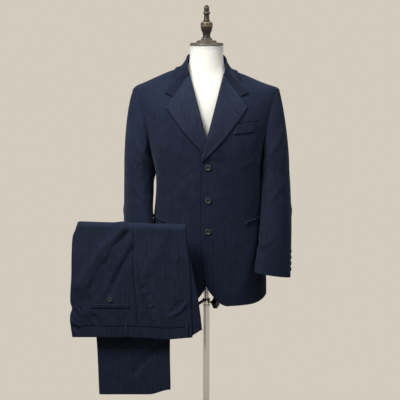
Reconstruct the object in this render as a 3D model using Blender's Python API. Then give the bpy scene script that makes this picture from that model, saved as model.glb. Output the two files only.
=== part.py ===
"""Two-piece suit on a dress form: a jacket that the form wears, and trousers folded over a bar.

Metres, +Z up. The origin is the centre of the base's underside, on the pole's axis.
-Y is the suit's front, and +X is the wearer's left. Every object is one closed solid.
"""

import math
from functools import lru_cache

import bmesh
import bpy
import numpy as np
from mathutils import Vector

# ---------------------------------------------------------------- driving dimensions

SEAM = 0.0003          # gap kept between two solids that meet
CLOTH = 0.0018         # wall of the jacket's cloth
LINE = 0.0016          # wall of the trousers' cloth
LIFT = 0.0009          # air between a cloth and what lies on it

SHOULDER_TIP = 1.466   # height where the shoulder seam meets the sleeve
ARMPIT = 1.251         # lowest point of the armhole
ARMHOLE_SIDE = 1.269   # where the armhole meets the seams of the side panel
BICEP = 1.195          # height of the first free ring of the sleeve
CUFF = 0.858           # height of the middle of the cuff's edge
CUFF_TILT = 0.015      # rise of the cuff's front end, and drop of its back end
HEM = 0.7575           # jacket's hem at the front
HEM_RISE = 0.020       # how much higher the hem is at the sides and the back
NECK_TOP = 1.540       # upper edge of the fronts and backs, under the collar
NECK_EDGE = 0.0690     # across of the front's corner there

LAPEL_BREAK = (-0.016, 1.235)   # across and height where the roll line leaves the front edge
LAPEL_ROLL_TOP = (0.069, 1.557)
LAPEL_TIP = (0.1285, 1.4070)
NOTCH = (0.1065, 1.4395)
GORGE_TOP = (0.0610, 1.5115)
LAPEL_BELLY = 0.0075   # how far the lapel's edge bows out between break and tip

FRONT_BUTTON_HEIGHTS = (1.2190, 1.1115, 1.0100)
FRONT_BUTTON_ACROSS = 0.004
FRONT_BUTTON_RADIUS = 0.0095
CUFF_BUTTON_RADIUS = 0.0072
CUFF_BUTTON_PITCH = 0.0165
CUFF_BUTTONS = 4

FORM_BOTTOM = 0.860
FORM_TOP = 1.6017
NECK_RADIUS = 0.0549

BASE_RADIUS = 0.190
BASE_HEIGHT = 0.010
LOWER_POLE_RADIUS = 0.0115
LOWER_POLE_WALL = 0.0014
LOWER_POLE_TOP = 0.7225
UPPER_POLE_RADIUS = 0.0095
POLE_SIDES = 20
UPPER_POLE_BOTTOM = 0.400
LOCK_RADIUS = 0.0135
LOCK_HEIGHT = 0.0212
KNOB_AXIS = (0.90, -0.436, 0.0)
KNOB_START = 0.0162    # from the pole's axis to the knob's stem, along the knob's axis

ROD_RADIUS = 0.005     # bent rod that carries the trousers
BAR_Y = -0.207
BAR_HEIGHT = 1.0410    # bar's axis at its far end
BAR_DROP = 0.0326      # fall of the bar, per metre towards the pole
BAR_ENDS = (-0.398, -0.088)

WAIST_EDGE = 0.683     # lowest edge of the trousers' waist
WAISTBAND = 0.0375
TROUSER_HEM = 0.479
TROUSER_HEM_RISE = 0.016
HIDDEN_LAYERS = 0.0056  # the inner sides of both legs, lying together
LAYER_GAP = 0.0008
STRIP_GAP = 0.0010     # under what lies on the trousers, whose folds pass below it
SECOND_WAIST_STEP = 0.0165  # how much higher the right half's waist edge hangs

# ---------------------------------------------------------------- tables of sections

SECTION_COLUMNS = ("height", "half_width", "front", "back", "side", "roundness")
BODY = (
    (0.750, 0.2040, -0.1330, 0.1230, 0.000, 2.40),
    (0.850, 0.2010, -0.1360, 0.1240, 0.000, 2.40),
    (0.950, 0.1900, -0.1370, 0.1190, 0.000, 2.40),
    (1.050, 0.1735, -0.1355, 0.1090, 0.000, 2.40),
    (1.140, 0.1655, -0.1345, 0.1030, 0.000, 2.40),
    (1.200, 0.1690, -0.1350, 0.1070, 0.000, 2.40),
    (1.260, 0.1860, -0.1360, 0.1150, 0.000, 2.40),
    (1.320, 0.2050, -0.1340, 0.1200, 0.000, 2.35),
    (1.370, 0.2190, -0.1280, 0.1210, 0.002, 2.20),
    (1.410, 0.2285, -0.1180, 0.1180, 0.004, 2.00),
    (1.440, 0.2350, -0.1070, 0.1120, 0.006, 1.75),
    (1.4665, 0.2365, -0.0945, 0.1040, 0.008, 1.45),
    (1.485, 0.1970, -0.0835, 0.0960, 0.010, 1.42),
    (1.506, 0.1500, -0.0695, 0.0865, 0.011, 1.46),
    (1.525, 0.1060, -0.0550, 0.0780, 0.012, 1.60),
    (1.540, 0.0750, -0.0420, 0.0710, 0.012, 1.80),
    (1.556, 0.0620, -0.0360, 0.0670, 0.012, 2.00),
)

# The jacket hangs a little to the wearer's left at the waist: how much wider its left half is there.
LEFT_EXTRA_COLUMNS = ("height", "extra")
LEFT_EXTRA = (
    (0.850, 0.0000),
    (0.950, 0.0020),
    (1.050, 0.0075),
    (1.140, 0.0140),
    (1.200, 0.0100),
    (1.260, 0.0020),
    (1.300, 0.0000),
)

ARMHOLE_COLUMNS = ("height", "front", "back")
ARMHOLE = (
    (ARMHOLE_SIDE, 0.1837, 0.1790),
    (1.285, 0.1848, 0.1838),
    (1.300, 0.1865, 0.1885),
    (1.335, 0.1915, 0.1970),
    (1.370, 0.1990, 0.2050),
    (1.405, 0.2100, 0.2150),
    (1.440, 0.2235, 0.2260),
    (SHOULDER_TIP, 0.2370, 0.2370),
)

FRONT_EDGE_COLUMNS = ("height", "across")
FRONT_EDGE = (
    (HEM, 0.0640),
    (0.7650, 0.0480),
    (0.7720, 0.0400),
    (0.7860, 0.0262),
    (0.8000, 0.0155),
    (0.8120, 0.0078),
    (0.8270, 0.0002),
    (0.8450, -0.0042),
    (0.8700, -0.0078),
    (0.9100, -0.0122),
    (0.9600, -0.0160),
    (1.1000, -0.0180),
    (LAPEL_BREAK[1], LAPEL_BREAK[0]),
)

# Rings of the dress form, in the same columns as the body's.
FORM = (
    (FORM_BOTTOM, 0.1480, -0.1000, 0.0930, 0.000, 2.30),
    (0.950, 0.1560, -0.1070, 0.0960, 0.000, 2.30),
    (1.050, 0.1500, -0.1080, 0.0880, 0.000, 2.30),
    (1.140, 0.1440, -0.1100, 0.0840, 0.000, 2.30),
    (1.220, 0.1530, -0.1150, 0.0900, 0.000, 2.35),
    (1.300, 0.1700, -0.1190, 0.0990, 0.000, 2.35),
    (1.360, 0.1830, -0.1150, 0.1040, 0.002, 2.25),
    (1.410, 0.1930, -0.1040, 0.1010, 0.004, 2.05),
    (1.440, 0.1960, -0.0930, 0.0950, 0.006, 1.85),
    (1.462, 0.1930, -0.0830, 0.0880, 0.008, 1.65),
    (1.478, 0.1770, -0.0750, 0.0810, 0.008, 1.60),
    (1.495, 0.1380, -0.0640, 0.0720, 0.008, 1.65),
    (1.512, 0.0990, -0.0575, 0.0650, 0.006, 1.75),
    (1.528, 0.0700, -0.0555, 0.0590, 0.003, 1.90),
    (1.548, 0.0580, NECK_RADIUS * -1.0, 0.0560, 0.000, 2.00),
    (1.566, NECK_RADIUS, NECK_RADIUS * -1.0, NECK_RADIUS, 0.000, 2.00),
    (FORM_TOP, NECK_RADIUS, NECK_RADIUS * -1.0, NECK_RADIUS, 0.000, 2.00),
)

# Sections of the sleeves. "turn" swings the section's front end towards the body, in degrees.
SLEEVE_COLUMNS = ("height", "across", "ahead", "half_depth", "half_width", "turn")
LEFT_SLEEVE = (
    (CUFF, 0.2180, -0.1040, 0.0665, 0.0330, 60.0),
    (0.900, 0.2210, -0.0900, 0.0660, 0.0385, 54.0),
    (0.950, 0.2270, -0.0730, 0.0680, 0.0415, 42.0),
    (1.000, 0.2308, -0.0550, 0.0700, 0.0446, 31.0),
    (1.050, 0.2328, -0.0390, 0.0710, 0.0458, 22.0),
    (1.100, 0.2330, -0.0250, 0.0730, 0.0462, 14.0),
    (1.150, 0.2313, -0.0130, 0.0750, 0.0468, 8.0),
    (BICEP, 0.2288, -0.0050, 0.0760, 0.0462, 4.0),
)
RIGHT_SLEEVE = (
    (CUFF, 0.2165, -0.1040, 0.0650, 0.0320, 60.0),
    (0.900, 0.2195, -0.0900, 0.0655, 0.0365, 54.0),
    (0.950, 0.2240, -0.0730, 0.0680, 0.0385, 42.0),
    (1.000, 0.2257, -0.0550, 0.0700, 0.0405, 31.0),
    (1.050, 0.2264, -0.0390, 0.0710, 0.0436, 22.0),
    (1.100, 0.2268, -0.0250, 0.0730, 0.0455, 14.0),
    (1.150, 0.2254, -0.0130, 0.0750, 0.0478, 8.0),
    (BICEP, 0.2240, -0.0050, 0.0760, 0.0488, 4.0),
)

# Stations of the collar's left half, from the centre back to its front end.
COLLAR_COLUMNS = ("station", "seam_x", "seam_y", "seam_z", "fold_x", "fold_y", "fold_z",
                  "edge_x", "edge_y", "edge_z")
COLLAR = (
    (0, 0.0000, 0.0690, 1.5425, 0.0000, 0.0665, 1.5790, 0.0000, 0.0880, 1.5290),
    (1, 0.0250, 0.0655, 1.5425, 0.0240, 0.0630, 1.5785, 0.0360, 0.0850, 1.5270),
    (2, 0.0470, 0.0520, 1.5420, 0.0445, 0.0500, 1.5760, 0.0690, 0.0680, 1.5220),
    (3, 0.0620, 0.0310, 1.5415, 0.0580, 0.0300, 1.5715, 0.0900, 0.0400, 1.5180),
    (4, 0.0670, 0.0080, 1.5400, 0.0625, 0.0080, 1.5655, 0.1010, 0.0080, 1.5150),
    (5, 0.0665, -0.0140, 1.5370, 0.0640, -0.0160, 1.5565, 0.1100, -0.0260, 1.5010),
    (6, 0.0650, -0.0330, 1.5300, 0.0640, -0.0400, 1.5435, 0.1190, -0.0520, 1.4860),
    (7, 0.0625, -0.0480, 1.5200, 0.0620, -0.0560, 1.5295, 0.1275, -0.0680, 1.4700),
    (8, 0.0595, -0.0580, 1.5110, 0.0600, -0.0660, 1.5155, 0.1360, -0.0800, 1.4550),
)

# Edges of the folded trousers. "course" runs 0 to 1 up the front drop, to 2 over the bar, to 3 down.
TROUSER_COLUMNS = ("course", "seat_edge", "side_seam", "front_edge", "second_edge")
TROUSER = (
    (0.000, -0.4310, -0.2205, -0.0455, -0.0130),
    (0.104, -0.4330, -0.2215, -0.0475, -0.0165),
    (0.200, -0.4355, -0.2230, -0.0485, -0.0205),
    (0.265, -0.4330, -0.2240, -0.0490, -0.0235),
    (0.330, -0.4345, -0.2255, -0.0500, -0.0270),
    (0.550, -0.4300, -0.2285, -0.0530, -0.0400),
    (0.780, -0.4250, -0.2300, -0.0600, -0.0560),
    (0.920, -0.4180, -0.2305, -0.0650, -0.0630),
    (1.000, -0.4110, -0.2310, -0.0680, -0.0665),
    (1.500, -0.4060, -0.2320, -0.0680, -0.0665),
    (2.000, -0.4000, -0.2330, -0.0730, -0.0710),
    (2.350, -0.3740, -0.2350, -0.1010, -0.0990),
    (2.650, -0.3570, -0.2370, -0.1200, -0.1180),
    (3.000, -0.3510, -0.2360, -0.1200, -0.1180),
)

# Folds: a soft ridge between two places. Each row is x0, z0, x1, z1, half_width, rise.
TROUSER_FRONT_FOLDS = (
    (-0.250, 1.035, -0.390, 0.850, 0.026, 0.0060),
    (-0.120, 1.030, -0.190, 0.900, 0.020, 0.0030),
    (-0.425, 0.740, -0.375, 0.770, 0.018, 0.0030),
    (-0.110, 0.790, -0.060, 0.770, 0.018, -0.0022),
    (-0.345, 0.930, -0.310, 0.860, 0.020, -0.0022),
)
TROUSER_BACK_FOLDS = (
    (-0.140, 0.660, -0.240, 0.555, 0.014, 0.0035),
    (-0.330, 0.950, -0.260, 0.700, 0.022, 0.0030),
)
BODY_FOLDS = (
    (0.150, 1.300, 0.175, 1.060, 0.020, 0.0030),
    (0.060, 1.190, 0.130, 1.080, 0.016, 0.0020),
    (0.160, 1.000, 0.110, 0.800, 0.024, 0.0035),
    (-0.155, 1.290, -0.165, 1.060, 0.020, 0.0030),
    (-0.050, 1.180, -0.120, 1.090, 0.016, 0.0020),
    (-0.150, 1.000, -0.120, 0.800, 0.024, 0.0035),
)
# On a sleeve the folds run by turn around it, in half turns from its outer side, and height.
SLEEVE_FOLDS = (
    (0.20, 1.330, 0.75, 1.215, 0.016, 0.0035),
    (0.10, 1.190, 0.60, 1.100, 0.014, 0.0030),
    (0.55, 1.010, 0.95, 0.960, 0.010, 0.0030),
    (0.30, 0.980, 0.90, 0.925, 0.009, 0.0025),
    (-0.60, 1.120, -0.15, 1.060, 0.016, 0.0030),
)

# ---------------------------------------------------------------- materials

MATERIALS = {
    "navy_wool": ((0.018, 0.024, 0.048), 0.85, 0.0),
    "navy_lapel": ((0.028, 0.034, 0.062), 0.80, 0.0),
    "button": ((0.030, 0.034, 0.040), 0.35, 0.0),
    "form_linen": ((0.80, 0.78, 0.70), 0.80, 0.0),
    "dark_bronze": ((0.085, 0.072, 0.060), 0.40, 0.6),
    "chrome": ((0.80, 0.79, 0.76), 0.15, 1.0),
    "black_steel": ((0.015, 0.015, 0.016), 0.40, 0.3),
    "black_plastic": ((0.010, 0.010, 0.011), 0.35, 0.0),
    "base_steel": ((0.55, 0.54, 0.52), 0.35, 0.8),
}


def material(name):
    """Make a Principled material, or return it if it is there."""
    if name in bpy.data.materials:
        return bpy.data.materials[name]
    colour, roughness, metallic = MATERIALS[name]
    made = bpy.data.materials.new(name)
    made.use_nodes = True
    shader = made.node_tree.nodes["Principled BSDF"]
    shader.inputs["Base Color"].default_value = (*colour, 1.0)
    shader.inputs["Roughness"].default_value = roughness
    shader.inputs["Metallic"].default_value = metallic
    made.diffuse_color = (*colour, 1.0)
    return made


# ---------------------------------------------------------------- reading tables


def read(table, columns, name, where):
    """Value of a table's column at a place between its rows, on a smooth curve."""
    keys = [row[0] for row in table]
    values = [row[columns.index(name)] for row in table]
    if where <= keys[0]:
        return values[0]
    if where >= keys[-1]:
        return values[-1]
    last = len(keys) - 1
    i = max(k for k in range(last) if keys[k] <= where)

    def slope(k):
        low, high = max(k - 1, 0), min(k + 1, last)
        return (values[high] - values[low]) / (keys[high] - keys[low])

    span = keys[i + 1] - keys[i]
    t = (where - keys[i]) / span
    return ((1 + 2 * t) * (1 - t) ** 2 * values[i] + t * (1 - t) ** 2 * span * slope(i)
            + t * t * (3 - 2 * t) * values[i + 1] + t * t * (t - 1) * span * slope(i + 1))


def smooth_step(low, high, value):
    """0 below low, 1 above high, and a soft change between."""
    t = min(max((value - low) / (high - low), 0.0), 1.0)
    return t * t * (3.0 - 2.0 * t)


def mix(first, second, share):
    return first + (second - first) * share


def folds(table, x, z):
    """Height of all the folds of a table at one place."""
    total = 0.0
    for x0, z0, x1, z1, half_width, rise in table:
        length = math.hypot(x1 - x0, z1 - z0)
        along = ((x - x0) * (x1 - x0) + (z - z0) * (z1 - z0)) / length
        aside = ((x - x0) * (z1 - z0) - (z - z0) * (x1 - x0)) / length
        past = max(-along, along - length, 0.0)
        total += rise * math.exp(-(aside / half_width) ** 2 - (past / half_width) ** 2)
    return total


# ---------------------------------------------------------------- mesh helpers


def add_object(name, mesh, material_name):
    """Put a mesh in the scene as one named solid, shaded smooth with its hard edges kept."""
    mesh.shade_smooth()
    mesh.set_sharp_from_angle(angle=math.radians(40.0))
    mesh.materials.append(material(material_name))
    made = bpy.data.objects.new(name, mesh)
    bpy.context.scene.collection.objects.link(made)
    return made


def mesh_from(name, points, faces):
    """Mesh from points and faces, with every face turned outwards."""
    mesh = bpy.data.meshes.new(name)
    mesh.from_pydata([tuple(point) for point in points], [], faces)
    work = bmesh.new()
    work.from_mesh(mesh)
    bmesh.ops.recalc_face_normals(work, faces=work.faces)
    work.to_mesh(mesh)
    work.free()
    return mesh


def grid_normals(grid):
    """Direction square to a grid of points, at each of them."""
    last_row, last_column = len(grid) - 1, len(grid[0]) - 1
    normals = []
    for i, row in enumerate(grid):
        line = []
        for j in range(len(row)):
            down = grid[min(i + 1, last_row)][j] - grid[max(i - 1, 0)][j]
            across = row[min(j + 1, last_column)] - row[max(j - 1, 0)]
            line.append(across.cross(down).normalized())
        normals.append(line)
    return normals


def cloth_wall(name, grid, wall, material_name, normals=None, flip=False):
    """A closed wall of cloth: the grid is its inner face, and the outer face is moved out."""
    normals = normals or grid_normals(grid)
    side = -1.0 if flip else 1.0
    rows, columns = len(grid), len(grid[0])
    points = [point for row in grid for point in row]
    points += [grid[i][j] + normals[i][j] * (wall * side)
               for i in range(rows) for j in range(columns)]
    outer = rows * columns

    def at(i, j, layer):
        return layer * outer + i * columns + j

    faces = []
    for i in range(rows - 1):
        for j in range(columns - 1):
            for layer in (0, 1):
                faces.append((at(i, j, layer), at(i, j + 1, layer),
                              at(i + 1, j + 1, layer), at(i + 1, j, layer)))
    border = [(0, j) for j in range(columns)] + [(i, columns - 1) for i in range(1, rows)]
    border += [(rows - 1, j) for j in range(columns - 2, -1, -1)] + [(i, 0) for i in range(rows - 2, 0, -1)]
    for k, (i, j) in enumerate(border):
        m, n = border[(k + 1) % len(border)]
        faces.append((at(i, j, 0), at(m, n, 0), at(m, n, 1), at(i, j, 1)))
    return add_object(name, mesh_from(name, points, faces), material_name)


def ringed_solid(name, rings, material_name):
    """A closed solid from a stack of closed rings with equal counts of points, capped at both ends."""
    count = len(rings[0])
    points = [point for ring in rings for point in ring]
    faces = []
    for i in range(len(rings) - 1):
        for j in range(count):
            k = (j + 1) % count
            faces.append((i * count + j, i * count + k, (i + 1) * count + k, (i + 1) * count + j))
    faces.append(tuple(range(count)))
    faces.append(tuple((len(rings) - 1) * count + j for j in range(count)))
    return add_object(name, mesh_from(name, points, faces), material_name)


def frame_along(axis):
    """Two directions square to an axis and to each other."""
    axis = Vector(axis).normalized()
    helper = Vector((0.0, 0.0, 1.0)) if abs(axis.z) < 0.9 else Vector((1.0, 0.0, 0.0))
    first = axis.cross(helper).normalized()
    return axis, first, axis.cross(first)


def turned(name, profile, origin, axis, sides, material_name, lobes=0, lobe_depth=0.0, inner=None):
    """A turned solid from (distance, radius) rows along an axis, with lobes on its widest rings."""
    axis, first, second = frame_along(axis)
    origin = Vector(origin)
    widest = max(radius for _, radius in profile)
    rings = []
    for distance, radius in profile:
        ring = []
        for k in range(sides):
            angle = 2.0 * math.pi * k / sides
            deep = lobe_depth * smooth_step(0.6, 0.8, radius / widest)
            reach = radius * (1.0 - deep * (0.5 - 0.5 * math.cos(lobes * angle)))
            way = first * math.cos(angle) + second * math.sin(angle)
            ring.append(origin + axis * distance + way * reach)
        rings.append(ring)
    if inner is None:
        return ringed_solid(name, rings, material_name)
    # A tube: the same rings run back along the inner radius, and the last ring joins the first.
    for distance, radius in inner:
        rings.append([origin + axis * distance
                      + (first * math.cos(2.0 * math.pi * k / sides)
                         + second * math.sin(2.0 * math.pi * k / sides)) * radius for k in range(sides)])
    points = [point for ring in rings for point in ring]
    faces = []
    for i in range(len(rings)):
        m = (i + 1) % len(rings)
        for j in range(sides):
            k = (j + 1) % sides
            faces.append((i * sides + j, i * sides + k, m * sides + k, m * sides + j))
    return add_object(name, mesh_from(name, points, faces), material_name)


def rounded_route(corners, radius, steps):
    """Points of a route through corners, each corner turned into an arc-like bend."""
    corners = [Vector(corner) for corner in corners]
    route = [corners[0]]
    for before, corner, after in zip(corners, corners[1:], corners[2:]):
        start = corner + (before - corner).normalized() * radius
        end = corner + (after - corner).normalized() * radius
        for k in range(steps + 1):
            t = k / steps
            route.append(start * (1 - t) ** 2 + corner * (2 * t * (1 - t)) + end * t ** 2)
    route.append(corners[-1])
    return route


def rod(name, route, radius, material_name):
    """A round rod along a route, as a curve with a bevel and filled caps."""
    curve = bpy.data.curves.new(name, "CURVE")
    curve.dimensions = "3D"
    curve.bevel_depth = radius
    curve.bevel_resolution = 2
    curve.use_fill_caps = True
    spline = curve.splines.new("POLY")
    spline.points.add(len(route) - 1)
    for slot, point in zip(spline.points, route):
        slot.co = (*point, 1.0)
    curve.materials.append(material(material_name))
    made = bpy.data.objects.new(name, curve)
    bpy.context.scene.collection.objects.link(made)
    return made


# ---------------------------------------------------------------- the jacket's body surface

RING_POINTS = 161
PROBE = 0.004          # step for slopes of the surface


def section_at(table, height, left):
    """Half width, front, back, side and roundness of a ring, for the wearer's left half or the right."""
    values = [read(table, SECTION_COLUMNS, name, height) for name in SECTION_COLUMNS[1:]]
    if left and table is BODY:
        values[0] += read(LEFT_EXTRA, LEFT_EXTRA_COLUMNS, "extra", height)
    return values


@lru_cache(maxsize=None)
def half_ring(height, left):
    """Half a ring of the body, centre front to centre back: x, y and the length run so far."""
    width, front, back, side, roundness = section_at(BODY, height, left)
    angle = np.linspace(0.0, math.pi, RING_POINTS)
    ahead = np.cos(angle)
    x = width * np.abs(np.sin(angle)) ** (2.0 / roundness)
    depth = np.where(ahead > 0.0, side - front, back - side)
    y = side - np.sign(ahead) * depth * np.abs(ahead) ** (2.0 / roundness)
    x[-1] = 0.0
    run = np.concatenate(([0.0], np.cumsum(np.hypot(np.diff(x), np.diff(y)))))
    return x, y, run


def bare_body(around, height):
    """Point of the body's surface. "around" is 0 at the centre front and 1 or -1 at the centre back."""
    x, y, run = half_ring(round(height, 5), around > 0.0)
    distance = abs(around) * run[-1]
    across = math.copysign(np.interp(distance, run, x), around)
    return Vector((across, np.interp(distance, run, y), height))


def body_normal(around, height):
    """Outward direction of the body's surface."""
    across = bare_body(around + PROBE, height) - bare_body(around - PROBE, height)
    up = bare_body(around, height + PROBE) - bare_body(around, height - PROBE)
    return across.cross(up).normalized()


def relief(point):
    """Rise of the body's folds at a point, fading out towards the sides."""
    return folds(BODY_FOLDS, point.x, point.z) * smooth_step(0.0, 0.050, -point.y)


def on_body(around, height, out=0.0):
    """Point of the body's surface with its folds, moved out."""
    point = bare_body(around, height)
    return point + body_normal(around, height) * (out + relief(point))


def around_at(x, height, at_back=False):
    """Place around a ring where it is x from the middle, on its front or back half."""
    xs, _, run = half_ring(round(height, 5), x > 0.0)
    half = RING_POINTS // 2
    if at_back:
        distance = np.interp(abs(x), xs[half:][::-1], run[half:][::-1])
    else:
        distance = np.interp(abs(x), xs[:half + 1], run[:half + 1])
    return math.copysign(distance / run[-1], x)


def side_of(height):
    """Place around a ring of its widest point, where the shoulder seam runs."""
    _, _, run = half_ring(round(height, 5), False)
    return run[RING_POINTS // 2] / run[-1]


def off_surface(table, point, left):
    """How far a point stands off a ringed surface, with the way out."""

    def scaled(p):
        width, front, back, side, roundness = section_at(table, p.z, left)
        depth = side - front if p.y < side else back - side
        return ((abs(p.x) / width) ** roundness + (abs(p.y - side) / depth) ** roundness) ** (1.0 / roundness)

    here = scaled(point)
    step = 0.0005
    way = Vector([(scaled(point + offset) - here) / step for offset in
                  (Vector((step, 0, 0)), Vector((0, step, 0)), Vector((0, 0, step)))])
    return (here - 1.0) / way.length, way.normalized()


def clear_of(table, point, gap, left=False):
    """Move a point out until it stands off a ringed surface by a gap."""
    for _ in range(4):
        distance, way = off_surface(table, point, left)
        if distance >= gap:
            break
        point = point + way * (gap - distance)
    return point


# ---------------------------------------------------------------- jacket panels

FRONT_SIDE_SEAM = 0.430     # places around of the seams beside the side panel
BACK_SIDE_SEAM = 0.610
POCKET_HEIGHT = 1.040
POCKET_END = 0.462          # place around of a hip pocket's outer end
SEAM_AROUND = 0.0010        # half a seam's gap, as a share of half a ring
LAP = CLOTH + LIFT          # how far the left front lies over the right
LAPEL_LAP = 0.0046          # more where the left front also lies over the right lapel

FRONT_ROWS = (0.7575, 0.765, 0.782, 0.805, 0.836, 0.872, 0.915, 0.960, 1.005, 1.035, 1.065, 1.105,
              1.150, 1.190, 1.230, 1.250, ARMHOLE_SIDE, 1.300, 1.335, 1.370, 1.405, 1.432, 1.452,
              1.4655, 1.484, 1.503, 1.522, 1.5395)
BACK_ROWS = (0.7575, 0.805, 0.860, 0.915, 0.970, 1.025, 1.080, 1.135, 1.185, 1.230, ARMHOLE_SIDE,
             1.300, 1.335, 1.370, 1.405, 1.440, 1.4655, 1.484, 1.503, 1.522, 1.5395)
SIDE_ROWS = (0.7575, 0.805, 0.860, 0.915, 0.970, 1.025, 1.080, 1.135, 1.185, 1.225)


def hem_height(around, height):
    """Height of a row's point: the lowest rows rise towards the sides and back."""
    share = smooth_step(0.20, 0.50, abs(around)) * (1.0 - smooth_step(HEM, 1.02, height))
    return height + HEM_RISE * share


def roll_across(height):
    """Across of the lapel's roll line, on the wearer's left."""
    share = (height - LAPEL_BREAK[1]) / (LAPEL_ROLL_TOP[1] - LAPEL_BREAK[1])
    return mix(LAPEL_BREAK[0], LAPEL_ROLL_TOP[0], share)


def front_edge_across(height):
    """Across of a front's free edge: the cutaway, the straight edge, the roll line, then the neck."""
    if height > LAPEL_BREAK[1]:
        return mix(roll_across(height) + 0.0012, NECK_EDGE, smooth_step(1.495, NECK_TOP, height))
    return read(FRONT_EDGE, FRONT_EDGE_COLUMNS, "across", height)


def lap_out(x, height):
    """How far the left front stands off the body near the centre front."""
    lap = LAP * (1.0 - smooth_step(0.030, 0.080, x))
    near_lapel = smooth_step(1.230, 1.258, height) * (1.0 - smooth_step(1.310, 1.370, height))
    return lap + LAPEL_LAP * near_lapel * (1.0 - smooth_step(0.020, 0.070, x))


def front_out(x, height, side):
    """Stand-off of a front at a place: only the wearer's left front laps over."""
    return lap_out(x, height) if side > 0 else 0.0


def armhole_around(height, at_back, side):
    """Place around the body of the armhole's edge: below the side seams it dips under the arm."""
    seam = BACK_SIDE_SEAM if at_back else FRONT_SIDE_SEAM
    if height < ARMHOLE_SIDE:
        middle = (FRONT_SIDE_SEAM + BACK_SIDE_SEAM) / 2.0
        return mix(middle, seam, math.sqrt((height - ARMPIT) / (ARMHOLE_SIDE - ARMPIT)))
    across = read(ARMHOLE, ARMHOLE_COLUMNS, "back" if at_back else "front", height)
    by_table = abs(around_at(across * side, height, at_back))
    return mix(seam, by_table, smooth_step(ARMHOLE_SIDE, ARMHOLE_SIDE + 0.020, height))


def jacket_front(name, side):
    """One front: side is 1 for the wearer's left and -1 for the right."""
    grid, normals = [], []
    columns = 9
    for height in FRONT_ROWS:
        start = around_at(front_edge_across(height) * side, height) * side
        if height >= SHOULDER_TIP - 0.001:
            end = side_of(height) - SEAM_AROUND
        elif height > ARMHOLE_SIDE:
            end = armhole_around(height, False, side) - SEAM_AROUND
        else:
            end = FRONT_SIDE_SEAM - SEAM_AROUND
        row, row_normals = [], []
        for j in range(columns + 1):
            around = mix(start, end, j / columns)
            level = hem_height(around, height)
            x = bare_body(around * side, level).x * side
            row.append(on_body(around * side, level, front_out(x, height, side)))
            row_normals.append(body_normal(around * side, level))
        grid.append(row)
        normals.append(row_normals)
    return cloth_wall(name, grid, CLOTH, "navy_wool", normals)


def jacket_back(name, side):
    """One back, from the centre back seam to the side panel, the armhole and the shoulder seam."""
    grid, normals = [], []
    columns = 7
    for height in BACK_ROWS:
        if height >= SHOULDER_TIP - 0.001:
            start = side_of(height) + SEAM_AROUND
        elif height > ARMHOLE_SIDE:
            start = armhole_around(height, True, side) + SEAM_AROUND
        else:
            start = BACK_SIDE_SEAM + SEAM_AROUND
        row, row_normals = [], []
        for j in range(columns + 1):
            around = mix(start, 1.0 - SEAM_AROUND, j / columns)
            level = hem_height(around, height)
            row.append(on_body(around * side, level))
            row_normals.append(body_normal(around * side, level))
        grid.append(row)
        normals.append(row_normals)
    return cloth_wall(name, grid, CLOTH, "navy_wool", normals)


def jacket_side(name, side):
    """The panel under the arm, whose top edge is the bottom of the armhole."""
    grid, normals = [], []
    columns = 4
    for height in SIDE_ROWS + (ARMPIT,):
        row, row_normals = [], []
        for j in range(columns + 1):
            share = j / columns
            around = mix(FRONT_SIDE_SEAM + SEAM_AROUND, BACK_SIDE_SEAM - SEAM_AROUND, share)
            level = hem_height(around, height)
            if height == ARMPIT:
                level += (ARMHOLE_SIDE - ARMPIT) * (2.0 * share - 1.0) ** 2 - 0.0008
            row.append(on_body(around * side, level))
            row_normals.append(body_normal(around * side, level))
        grid.append(row)
        normals.append(row_normals)
    return cloth_wall(name, grid, CLOTH, "navy_wool", normals)


# ---------------------------------------------------------------- lapels and collar

LAPEL_ROWS = (1.2500, ARMHOLE_SIDE, 1.2850, 1.3000, 1.3175, 1.3350, 1.3600, 1.3850, LAPEL_TIP[1],
              1.4190, NOTCH[1] - 0.0008, 1.4600, 1.4830, 1.5040)


def lapel_edge_across(height):
    """Across of the lapel's outer edge: bowed up to the tip, then the notch, then the gorge seam."""
    if height <= LAPEL_TIP[1]:
        share = (height - LAPEL_BREAK[1]) / (LAPEL_TIP[1] - LAPEL_BREAK[1])
        return mix(LAPEL_BREAK[0], LAPEL_TIP[0], share) + LAPEL_BELLY * math.sin(math.pi * share) ** 1.2
    if height <= NOTCH[1]:
        return mix(LAPEL_TIP[0], NOTCH[0], (height - LAPEL_TIP[1]) / (NOTCH[1] - LAPEL_TIP[1]))
    return mix(NOTCH[0], GORGE_TOP[0], (height - NOTCH[1]) / (GORGE_TOP[1] - NOTCH[1])) - 0.0012


def lapel(name, side):
    """A lapel: it rolls round the front's edge and lies back on the front."""
    rolled = ((-0.0018, -0.0002), (-0.0026, 0.0030), (0.0012, 0.0056))
    shares = (0.22, 0.45, 0.72, 1.0)
    grid = []
    rows = LAPEL_ROWS if side > 0 else LAPEL_ROWS[1:]
    for height in rows:
        roll = roll_across(height)
        edge = lapel_edge_across(height)
        width = edge - roll
        scale = min(1.0, width / 0.012)
        # The right lapel's lower end is flat, because the left front lies over it.
        puff = 1.0 if side > 0 else smooth_step(1.275, 1.345, height)
        places = [(roll + across * scale, mix(min(out, LAP), out, puff)) for across, out in rolled]
        places += [(roll + width * share, LAP + 0.0004 + 0.0030 * puff * (1.0 - share) ** 1.5)
                   for share in shares]
        row = []
        for x, out in places:
            stand = front_out(max(x, roll), height, side)
            row.append(on_body(around_at(x * side, height), height, out + stand))
        grid.append(row)
    return cloth_wall(name, grid, CLOTH, "navy_lapel", flip=side < 0)


STAND_GAP = 0.0015          # between the form's neck and the collar's stand
FALL_GAP = 0.0024           # between the jacket's panels and the collar's fall
COLLAR_STATIONS = (0.0, 0.6, 1.2, 1.8, 2.4, 3.0, 3.6, 4.2, 4.8, 5.5, 6.2, 7.0, 8.0)


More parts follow.
